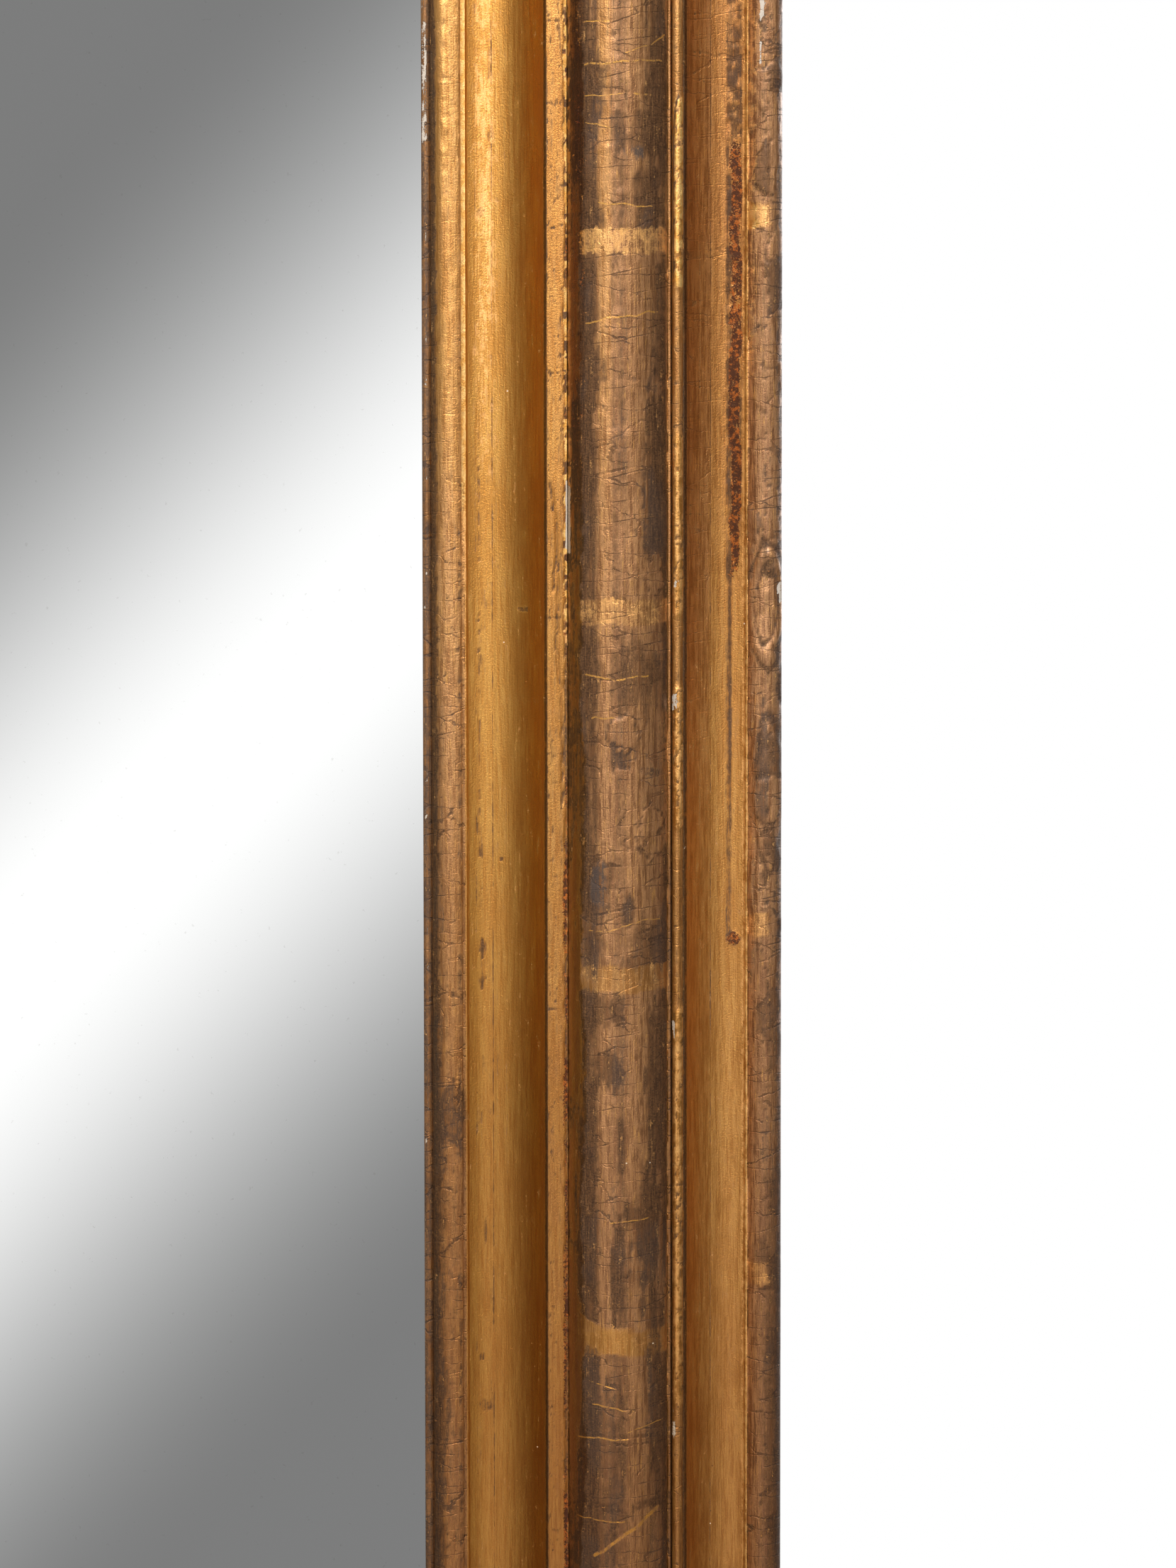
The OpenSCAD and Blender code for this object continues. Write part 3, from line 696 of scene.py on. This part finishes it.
def strip_mesh(name, side, profile, wear, marks, spread, seed):
    """One closed, mitred length of a strip, raised and worn by its coats."""
    shot = side == "right"
    half, sight = (SIGHT_Z, SIGHT_X) if side in ("right", "left") else (SIGHT_X, SIGHT_Z)
    places = ring_places(half, shot)
    steps = int(profile[:, 0].max() / MITRE_STEP)
    ends = np.linspace(0, 1, steps + 1)[1:]
    base = np.pad(places, steps, "edge")
    share = np.r_[-ends[::-1], places * 0, ends]
    u0, h0 = profile[:, 0], profile[:, 1]
    w = base[:, None] + share[:, None] * u0
    u = np.broadcast_to(u0, w.shape).copy()
    coats = blank(u)
    coats.tone = slow_tone(u, w, seed, side)
    wear(coats, u, w, seed, shot)
    if shot:
        marks(coats, u, shot_down(w, spread))
    normal = outward(profile)
    seen = step(h0, 3, 3.6) * (1 - step(np.abs(normal[:, 0]), 0.97, 1) * (h0 < 15.2))
    moved = u + coats.lift * seen * normal[:, 0]
    across = np.clip(moved, u0.min(), u0.max()) + sight
    y = FACE_Y - (h0 + coats.lift * seen * normal[:, 1])
    x, z = {
        "right": (across, MID_Z + w),
        "left": (-across, MID_Z - w),
        "top": (-w, MID_Z + across),
        "bottom": (w, MID_Z - across),
    }[side]
    return grid_object(name, np.stack([x, y, z], axis=-1) * MM, u, w, coats, seed)


def grid_object(name, points, u, w, coats, seed):
    """A closed tube from rings of points, which keeps its coats as attributes of the vertices."""
    rings, count = points.shape[:2]
    i, first = np.arange(count), np.arange(rings - 1)[:, None] * count
    a, b = (first + i).reshape(-1), (first + (i + 1) % count).reshape(-1)
    quads = np.stack([a, b, b + count, a + count], axis=1).tolist()
    caps = [i[::-1].tolist(), ((rings - 1) * count + i).tolist()]
    mesh = bpy.data.meshes.new(name)
    mesh.from_pydata(points.reshape(-1, 3).tolist(), [], quads + caps, shade_flat=False)
    keep_uv(mesh, rings, count)
    keep(mesh, "place", "FLOAT_VECTOR", "vector", (u, w, np.full_like(u, seed)))
    for four, names in (("coat", COATS[:4]), ("sheet", COATS[4:8])):
        keep(mesh, four, "FLOAT_COLOR", "color", [np.clip(getattr(coats, n), 0, 1) for n in names])
    return added(name, mesh)


def keep(mesh, name, kind, key, values):
    """Keeps one value of each array in an attribute of the vertices."""
    values = np.stack(values, axis=-1).reshape(-1).astype(np.float32)
    mesh.attributes.new(name, kind, "POINT").data.foreach_set(key, values)


def keep_uv(mesh, rings, count, columns=6):
    """Unwraps the long thin tube into columns side by side."""
    rows = math.ceil((rings - 1) / columns)
    j, i = np.divmod(np.arange((rings - 1) * count), count)
    column, row = j // rows, j % rows
    left = (column + 0.02 + 0.96 * i / count) / columns
    right = (column + 0.02 + 0.96 * (i + 1) / count) / columns
    low, high = 0.004 + 0.98 * row / rows, 0.004 + 0.98 * (row + 1) / rows
    corners = np.stack([left, low, right, low, right, high, left, high], axis=1).reshape(-1)
    caps = np.full(4 * count, 0.999)
    layer = mesh.uv_layers.new(name="OFBake")
    layer.data.foreach_set("uv", np.r_[corners, caps].astype(np.float32))


# --- node helpers


class Tree:
    """Builds the nodes of a material or of the world with short calls."""

    def __init__(self, owner):
        owner.use_nodes = True
        self.nodes = owner.node_tree.nodes
        self.links = owner.node_tree.links
        self.nodes.clear()

    def put(self, socket, value):
        if hasattr(value, "is_output"):
            self.links.new(value, socket)
        elif isinstance(value, tuple) and len(value) == 3 and socket.type == "RGBA":
            socket.default_value = (*value, 1)
        else:
            socket.default_value = value

    def node(self, kind, inputs=None, **settings):
        """A new node with its settings, and with its inputs by name or number. Gives its outputs."""
        n = self.nodes.new("ShaderNode" + kind)
        for key, value in settings.items():
            setattr(n, key, value)
        for key, value in (inputs or {}).items():
            self.put(n.inputs[key], value)
        return n.outputs

    def math(self, operation, a, b=0):
        return self.node("Math", {0: a, 1: b}, operation=operation)[0]

    times = partialmethod(math, "MULTIPLY")
    plus = partialmethod(math, "ADD")
    minus = partialmethod(math, "SUBTRACT")
    most = partialmethod(math, "MAXIMUM")

    def weighted(self, *parts, middle=0.5):
        """The sum of weight * (value - middle)."""
        total = -sum(weight for _, weight in parts) * middle
        for value, weight in parts:
            total = self.node("Math", {0: value, 1: weight, 2: total}, operation="MULTIPLY_ADD")[0]
        return total

    def vector(self, operation, *parts, out=0):
        return self.node("VectorMath", dict(enumerate(parts)), operation=operation)[out]

    def scaled(self, vector, size):
        return self.vector("MULTIPLY", vector, size)

    def noise(self, vector, scale, detail=4, rough=0.55, distort=0):
        looks = {"Scale": scale, "Detail": detail, "Roughness": rough, "Distortion": distort}
        return self.node("TexNoise", {"Vector": vector, **looks})["Fac"]

    def ramp(self, value, low, high):
        reach = {"Value": value, "From Min": low, "From Max": high}
        return self.node("MapRange", reach, interpolation_type="SMOOTHSTEP")[0]

    def cracks(self, place, size, wide):
        """Thin lines along the borders of irregular scales."""
        sway = self.vector("MULTIPLY_ADD", self.noise(place, 0.3), (0.6, 0.45, 0), self.scaled(place, size))
        scales = self.node("TexVoronoi", {"Vector": sway, "Scale": 1}, feature="DISTANCE_TO_EDGE")
        return self.ramp(scales["Distance"], wide, wide * 0.3)

    def blend(self, factor, a, b):
        """A number between a and b."""
        return self.node("Mix", {0: factor, 2: a, 3: b}, data_type="FLOAT")[0]

    def mix(self, factor, a, b, kind="MIX"):
        """A colour between a and b."""
        return self.node("Mix", {0: factor, 6: a, 7: b}, data_type="RGBA", blend_type=kind)[2]

    def tint(self, a, b):
        """Two colours multiplied."""
        return self.mix(1, a, b, "MULTIPLY")

    def four(self, name):
        """The four numbers that the vertices keep in one attribute."""
        kept = self.node("Attribute", attribute_name=name)
        return (*self.node("SeparateColor", {0: kept["Color"]}), kept["Alpha"])

    def bump(self, height, distance, strength):
        return self.node("Bump", {"Height": height, "Distance": distance, "Strength": strength})[0]


class Coating(Tree):
    """A material with one principled shader."""

    def __init__(self, name):
        self.material = bpy.data.materials.new(name)
        super().__init__(self.material)
        self.shader = self.nodes.new("ShaderNodeBsdfPrincipled")
        self.node("OutputMaterial", {"Surface": self.shader.outputs[0]})

    def set(self, **sockets):
        for key, value in sockets.items():
            self.put(self.shader.inputs[key.replace("_", " ")], value)


# --- gilding


GOLD = (0.76, 0.395, 0.088)
DEEP_GOLD = (0.62, 0.265, 0.042)
LAP_GOLD = (0.94, 0.51, 0.18)
GLAZE = (0.62, 0.54, 0.17)
LOW_DOWN = (0.51, 0.35, 0.151)
BRONZE = (0.54, 0.28, 0.13)
DULL_BRONZE = (0.23, 0.105, 0.045)
DARK = (0.045, 0.022, 0.011)
UMBER = (0.14, 0.068, 0.03)
SMOKE = (0.06, 0.048, 0.046)
CLAY = (0.43, 0.13, 0.022)
DARK_CLAY = (0.078, 0.026, 0.009)
CHALK = (0.52, 0.46, 0.4)
BRIGHT = (0.95, 0.63, 0.23)
DUST = (0.7, 0.6, 0.48)
WHITE = (1, 1, 1)
VARNISH = 0.5

# Lines that the gilder's tool left along the hollows: place u and depth
TOOL_LINES = ((11.3, 0.3), (14.8, 0.65), (17.6, 0.25), (61.2, 0.6), (58.8, 0.25))

# Scratches on the torus that show gold: u and d of both ends, and half the width, in mm
SCRATCHES = (
    (34.6, 13.8, 50.4, 12.6, 0.16), (34.4, 5.1, 39.6, 4.4, 0.12), (43, 11.4, 48.6, 9.2, 0.1),
    (47.8, 9.9, 51, 7, 0.12), (34.6, 20.4, 42.4, 19.7, 0.1), (44.8, 19.8, 48.2, 20.3, 0.16),
    (34.8, 26, 39.8, 27, 0.1), (37.4, 42.8, 48.4, 43.7, 0.12), (34.8, 68.2, 49.6, 65.7, 0.15),
    (34.8, 143, 47.6, 143.3, 0.15), (36, 152.2, 40.6, 151.9, 0.16), (35.4, 197.4, 50, 195, 0.09),
    (39.6, 260, 47.6, 259.6, 0.1), (35.4, 294.4, 40.8, 296.4, 0.1), (36, 299.8, 43, 300.9, 0.13),
    (32.8, 307.1, 43.4, 307, 0.13), (43.4, 305.6, 50.6, 303.4, 0.09), (32.8, 324.2, 42.6, 324.8, 0.11),
    (36.4, 332.6, 49.6, 322.4, 0.32),
)

# The seed of the right torus strip, the third number of its vertices' place
TORUS_SEED = 103


def shot_up(d):
    """The place along the torus of something seen d mm down the picture."""
    return SHOT_TOP - SHOT_LONG / 2 - (d - SHOT_LONG / 2) / TORUS_SPREAD


def scratched(t, place, waver):
    """1 along each scratch of the photographed stile."""
    total = None
    sway = t.noise(t.scaled(place, (0.16, 0.05, 1)), 1, 2)
    place = t.vector("MULTIPLY_ADD", sway, (0, 3, 0), place)
    for u0, d0, u1, d1, half in SCRATCHES:
        start = Vector((u0, shot_up(d0) + 1.5, TORUS_SEED))
        way = Vector((u1, shot_up(d1) + 1.5, TORUS_SEED)) - start
        off = t.vector("SUBTRACT", place, start)
        share = t.vector("DOT_PRODUCT", off, way / way.length_squared, out="Value")
        share = t.node("Math", {0: share, 1: 0}, operation="ADD", use_clamp=True)[0]
        foot = t.node("VectorMath", {0: way, "Scale": share}, operation="SCALE")[0]
        far = t.vector("DISTANCE", off, foot, out="Value")
        here = t.ramp(t.plus(far, waver), half * 1.5, half * 0.6)
        total = here if total is None else t.most(total, here)
    return total


def gilding(name, scratches=False):
    """Water gilding over red clay and chalk. Where each coat shows comes from the vertices; fine
    noise breaks up its edges."""
    t = Coating(name)
    place = t.node("Attribute", attribute_name="place")["Vector"]
    worn, grime, bole, gesso = t.four("coat")
    leaf, tone, glaze, smoke = t.four("sheet")

    grain = t.noise(place, 2.6, 5, 0.62)
    hair = t.noise(t.scaled(place, (4.5, 0.2, 1)), 1, 3, 0.6)
    streak = t.noise(t.scaled(place, (1.5, 0.06, 1)), 1, 5, 0.6)
    mottle = t.noise(t.scaled(place, (0.8, 0.42, 1)), 1, 6, 0.62)
    cloud = t.noise(t.scaled(place, (0.12, 0.045, 1)), 1, 3, 0.5)
    along = t.plus(t.times(hair, 0.45), t.times(streak, 0.55))
    rough_edge = t.weighted((grain, 0.7), (mottle, 1.4), (streak, 0.8), (hair, 0.5))

    # fine cracks, mostly across the length, where the coat is worn
    across = t.cracks(place, (0.07, 0.3, 1), 0.034)
    scales = t.cracks(place, (0.45, 0.75, 1), 0.045)
    cracked = t.times(across, t.ramp(t.noise(place, 0.23, 3), 0.36, 0.6))
    cracked = t.most(cracked, t.times(scales, t.ramp(mottle, 0.6, 0.72)))
    cracked = t.times(cracked, t.ramp(worn, 0.3, 0.65))
    tooled = 0
    u = t.node("SeparateXYZ", {0: place})[0]
    for tool_line, depth in TOOL_LINES:
        off = t.math("ABSOLUTE", t.minus(u, tool_line))
        broken = t.times(t.ramp(streak, 0.36, 0.56), depth)
        tooled = t.most(tooled, t.times(t.ramp(off, 0.2, 0.04), broken))

    # gold, worn to bronze, with its fibres
    gold = t.mix(t.ramp(along, 0.38, 0.6), DEEP_GOLD, GOLD)
    gold = t.mix(t.times(t.ramp(cloud, 0.45, 0.62), 0.5), gold, DEEP_GOLD)
    dulled = t.ramp(t.weighted((streak, 1), (hair, 0.7), (mottle, 0.5)), -0.16, 0.14)
    bronze = t.mix(dulled, DULL_BRONZE, BRONZE)
    bronze = t.mix(t.times(t.ramp(hair, 0.56, 0.68), 0.55), bronze, GOLD)
    colour = t.mix(worn, gold, bronze)
    colour = t.tint(colour, t.mix(grain, (0.8, 0.78, 0.76), (1.2, 1.22, 1.24)))
    fibre = t.ramp(t.weighted((hair, 1), (streak, 0.8)), -0.16, 0.16)
    fibre = t.mix(fibre, (0.91, 0.89, 0.87), (1.08, 1.09, 1.1))
    colour = t.tint(colour, t.mix(worn, WHITE, fibre))

    # dirt and painted shade, then clay, the glaze with more painted shade, fresh leaf with painted
    # highlights, chalk and dust, each over the one before
    flecks = t.noise(place, 0.9, 6, 0.75)
    speck = t.ramp(flecks, 0.64, 0.7)
    soiled = ((grime, 1), (speck, 0.45), (cracked, 0.36), (tooled, 0.85), (worn, 0.1))
    streaky = t.plus(rough_edge, t.weighted((streak, 0.7), (hair, 0.9)))
    patina = t.plus(t.weighted(*soiled, middle=0), streaky)
    patina = t.times(t.ramp(patina, 0.2, 0.8), 0.93)
    dirt = t.mix(t.ramp(t.weighted((hair, 1), (grain, 1)), -0.16, 0.18), DARK, UMBER)
    dirt = t.mix(t.most(smoke, t.times(t.ramp(cloud, 0.5, 0.62), 0.4)), dirt, SMOKE)
    colour = t.mix(patina, colour, dirt)
    clay = t.ramp(t.plus(bole, t.weighted((grain, 2.4), (mottle, 1.2))), 0.4, 0.66)
    colour = t.mix(clay, colour, t.mix(t.ramp(flecks, 0.49, 0.6), DARK_CLAY, CLAY))
    colour = t.tint(colour, t.mix(glaze, WHITE, GLAZE))
    shine = t.times(t.ramp(t.plus(leaf, rough_edge), 0.16, 0.62), 0.85)
    fresh = t.mix(t.ramp(mottle, 0.4, 0.6), GOLD, BRIGHT)
    lap = t.mix(t.ramp(leaf, 0.42, 0.54), LAP_GOLD, fresh)
    if scratches:
        waver = t.times(t.minus(grain, 0.5), 0.4)
        line_of_gold = t.times(scratched(t, place, waver), t.ramp(mottle, 0.36, 0.52))
        shine = t.most(shine, t.times(line_of_gold, 0.8))
        lap = t.mix(line_of_gold, lap, GOLD)
    colour = t.mix(shine, colour, lap)
    chalk = t.ramp(t.plus(gesso, rough_edge), 0.45, 0.6)
    colour = t.mix(chalk, colour, CHALK)
    dust = t.node("TexVoronoi", {"Vector": place, "Scale": 0.16}, feature="F1")
    few = t.minus(t.node("SeparateColor", {0: dust["Color"]})[0], t.times(tone, 0.4))
    dot = t.times(t.ramp(dust["Distance"], 0.034, 0.022), t.ramp(few, 0.35, 0.4))
    colour = t.mix(t.times(dot, 0.8), colour, DUST)
    # the tone: painted shade low down and painted light near the top, besides the gilding's own lighter and
    # darker parts
    colour = t.tint(colour, t.mix(tone, LOW_DOWN, WHITE))

    bare = t.most(clay, t.most(chalk, dot))
    metal = t.blend(worn, 0.86, 0.66)
    rough = t.blend(worn, t.blend(along, 0.3, 0.46), t.blend(along, 0.38, 0.58))
    for coat, metal_there, rough_there in ((patina, 0.35, 0.62), (shine, 0.85, 0.5), (bare, 0, 0.8)):
        metal = t.blend(coat, metal, metal_there)
        rough = t.blend(coat, rough, rough_there)
    height = t.weighted((grain, 0.5), (hair, 0.35), (streak, 0.35), (cracked, -0.5), (patina, -0.5))
    rubbed = t.times(t.weighted((mottle, 0.9), (grain, 0.4)), worn)
    height = t.plus(height, t.plus(rubbed, t.times(chalk, -0.8)))
    t.set(Base_Color=colour, Metallic=metal, Roughness=rough, Normal=t.bump(height, 0.00017, 0.8))
    dull = t.most(patina, bare)
    t.set(Coat_Weight=t.times(t.blend(dull, 1, 0.15), VARNISH))
    t.set(Coat_Roughness=0.36, Specular_IOR_Level=t.blend(dull, 0.5, 0.2))
    return t.material


# --- the other materials


def silvering():
    t = Coating("silvered_glass")
    spot = t.ramp(t.noise(t.node("TexCoord")["Object"], 900, 2, 0.5), 0.7, 0.8)
    colour = t.mix(spot, (0.9, 0.905, 0.9), (0.8, 0.8, 0.79))
    t.set(Base_Color=colour, Metallic=1, Roughness=t.blend(spot, 0.015, 0.06))
    return t.material


def timber(name, pale, dark, along, rings=38, plank=0):
    """Bare softwood with its grain along one axis (0, 1 or 2); each plank number has its own grain."""
    t = Coating(name)
    where = t.vector("ADD", t.node("TexCoord")["Object"], (1.7 * plank, 0, 2.3 * plank))
    stretch = tuple(0.035 if axis == along else 1 for axis in range(3))
    grain = t.noise(t.scaled(where, stretch), rings * 3, 4, 0.55, 0.6)
    fine = t.noise(t.scaled(where, stretch), 900, 3, 0.6)
    stain = t.ramp(t.noise(where, 6, 5, 0.6), 0.48, 0.72)
    colour = t.mix(t.ramp(grain, 0.35, 0.65), dark, pale)
    colour = t.mix(t.times(fine, 0.35), colour, dark)
    colour = t.mix(t.times(stain, 0.6), colour, tuple(0.45 * c for c in dark))
    height = t.plus(grain, t.times(fine, 0.5))
    t.set(Base_Color=colour, Roughness=t.blend(fine, 0.62, 0.82), Normal=t.bump(height, 0.0004, 0.5))
    return t.material


def iron():
    t = Coating("dark_iron")
    where = t.node("TexCoord")["Object"]
    mottle = t.noise(where, 160, 5, 0.6)
    rust = t.ramp(t.noise(where, 60, 5, 0.65), 0.56, 0.7)
    colour = t.mix(t.ramp(mottle, 0.35, 0.65), (0.035, 0.032, 0.03), (0.13, 0.115, 0.1))
    colour = t.mix(rust, colour, (0.15, 0.06, 0.025))
    t.set(Base_Color=colour, Metallic=t.blend(rust, 0.85, 0.15), Roughness=t.blend(mottle, 0.42, 0.68))
    t.set(Normal=t.bump(mottle, 0.0003, 0.5))
    return t.material


# --- pieces


PINE = ((0.56, 0.36, 0.19), (0.34, 0.19, 0.09))
OLD_PINE = ((0.3, 0.19, 0.11), (0.15, 0.085, 0.048))
BOARD_SHADES = (1, 1.3, 0.8, 1.12, 0.9)


def gild():
    """Replaces the twelve strips of the moulding."""
    coats = {"gilding": gilding("gilding"), "bronzed_gilding": gilding("bronzed_gilding", True)}
    strips = (
        ("inner_moulding", "gilding", INNER_PROFILE, inner_wear, inner_marks, INNER_SPREAD),
        ("torus_moulding", "bronzed_gilding", TORUS_PROFILE, torus_wear, torus_marks, TORUS_SPREAD),
        ("outer_moulding", "gilding", OUTER_PROFILE, outer_wear, outer_marks, OUTER_SPREAD),
    )
    for n, (strip, slot, *making) in enumerate(strips):
        for k, side in enumerate(SIDES):
            node = f"{strip}_{side}"
            piece = strip_mesh(f"{node}_skin", side, *making, 100 * n + 13 * k + 3)
            piece.data.materials.append(coats[slot])
            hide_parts(node)
            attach(piece, BODY)


def dress():
    """Gives every other node its material."""
    boards = []
    for k, shade in enumerate(BOARD_SHADES):
        tints = [tuple(shade * c for c in tint) for tint in OLD_PINE]
        boards.append(timber(f"board_pine_{k}", *tints, 0, 26, k))
    upright, level = timber("pine_upright", *PINE, 2), timber("pine_level", *PINE, 0)
    pegs = timber("peg_wood", PINE[0], OLD_PINE[1], 1, 60)
    metal = iron()
    looks = {"carcass_right": upright, "carcass_left": upright, "glass_blocks": upright}
    looks.update(carcass_top=level, carcass_bottom=level, corner_pegs=pegs, plate_shims=pegs)
    looks.update(mirror_plate=silvering(), backboard_nails=metal)
    for name, obj in frame["nodes"].items():
        if name.startswith("hanger"):
            looks[name] = metal
        elif name.startswith("backboard_") and name not in looks:
            looks[name] = boards[int(name.split("_")[1]) * 2 % len(boards)]
        for s in obj.material_slots if name in looks else ():
            s.material = looks[name]


# --- studio


# The bright band of light that the glass shows: its middle and half width as slopes of the
# reflected ray, and its brightness on the screen, middle and swing
PEAK_AT = -0.0013
BAND_HALF = 0.14
BAND_MIDDLE = 0.775
BAND_SWING = 0.265
BAND_GAIN = 1.06
SCREEN_GAMMA = 2.3


def added(name, data):
    """A new object in the scene."""
    obj = bpy.data.objects.new(name, data)
    bpy.context.collection.objects.link(obj)
    return obj


def world():
    """White behind the object; in front a dim studio with one soft diagonal band of light, which is
    what the glass shows."""
    studio = bpy.data.worlds.new("studio")
    bpy.context.scene.world = studio
    t = Tree(studio)
    x, y, z = t.node("SeparateXYZ", {0: t.node("TexCoord")["Generated"]})
    # slopes of the ray to the right and up, for rays that run towards the viewer
    nearing = t.times(y, -1)
    slope = t.math("DIVIDE", t.minus(x, z), t.most(nearing, 0.05))
    off = t.math("ABSOLUTE", t.math("DIVIDE", t.minus(slope, PEAK_AT), BAND_HALF))
    wave = t.math("COSINE", t.times(t.math("MINIMUM", off, 1), math.pi))
    shown = t.plus(t.times(wave, BAND_SWING), BAND_MIDDLE)
    light_band = t.times(t.math("POWER", shown, SCREEN_GAMMA), BAND_GAIN)
    around = t.blend(t.ramp(y, 0.05, 0.95), 0.07, 0.45)
    around = t.blend(t.ramp(z, 0.45, 1), around, 0.75)
    seen = t.blend(t.ramp(nearing, 0.75, 0.93), around, light_band)
    path = t.node("LightPath")
    strength = t.blend(path["Is Glossy Ray"], 0.22, seen)
    strength = t.blend(path["Is Camera Ray"], strength, 1)
    back = t.node("Background", {"Color": WHITE, "Strength": strength})
    t.node("OutputWorld", {0: back[0]})


def lamp(name, place, aim, size, power, colour=WHITE):
    data = bpy.data.lights.new(name, "AREA")
    data.shape = "RECTANGLE"
    data.size, data.size_y = size
    data.energy = power
    data.color = colour
    obj = added(name, data)
    obj.location = place
    obj.rotation_euler = (Vector(aim) - Vector(place)).to_track_quat("-Z", "Y").to_euler()


def lights():
    lamp("key", (0.25, -1.75, 2.25), (0.35, 0, 1), (1, 0.8), 72, (1, 0.97, 0.92))
    for name, x in (("back_left", -2.4), ("back_right", 2.4)):
        lamp(name, (x, 2.4, 1.6), (0, 0, 0.9), (1.4, 1.6), 50)


def floor():
    """A pale floor that fades into the white round about it."""
    mesh = bpy.data.meshes.new("floor")
    mesh.from_pydata([(-6, -6, 0), (6, -6, 0), (6, 6, 0), (-6, 6, 0)], [], [(0, 1, 2, 3)])
    obj = added("floor", mesh)
    obj.location.z = -0.0005
    paper = bpy.data.materials.new("floor_paper")
    t = Tree(paper)
    far = t.vector("LENGTH", t.node("TexCoord")["Object"], out="Value")
    diffuse = t.node("BsdfDiffuse", {"Color": (0.86, 0.86, 0.86)})
    faded = {0: t.ramp(far, 0.9, 2.2), 1: diffuse[0], 2: t.node("BsdfTransparent")[0]}
    t.node("OutputMaterial", {0: t.node("MixShader", faded)[0]})
    mesh.materials.append(paper)


# The photograph's middle on the stile, in metres, and how it was taken
AIM_X, AIM_Z = 0.3889, 0.915
CAMERA_FAR = 1.15
CAMERA_PITCH = -4
CAMERA_ROLL = -0.06
PICTURE_HIGH = 0.3315


def camera():
    data = bpy.data.cameras.new("camera")
    data.sensor_fit = "VERTICAL"
    data.sensor_height = 36
    data.lens = 36 * CAMERA_FAR / PICTURE_HIGH
    data.clip_start = 0.05
    obj = added("camera", data)
    pitch = math.radians(CAMERA_PITCH)
    aim = Vector((AIM_X, (FACE_Y - 12) * MM, AIM_Z))
    way = Vector((0, math.cos(pitch), math.sin(pitch)))
    turn = way.to_track_quat("-Z", "Y").to_matrix().to_4x4()
    turn = turn @ Matrix.Rotation(math.radians(CAMERA_ROLL), 4, "Z")
    obj.matrix_world = Matrix.Translation(aim - way * CAMERA_FAR) @ turn
    bpy.context.scene.camera = obj


bpy.context.scene.view_settings.view_transform = "Standard"
gild()
dress()
floor()
world()
lights()
camera()
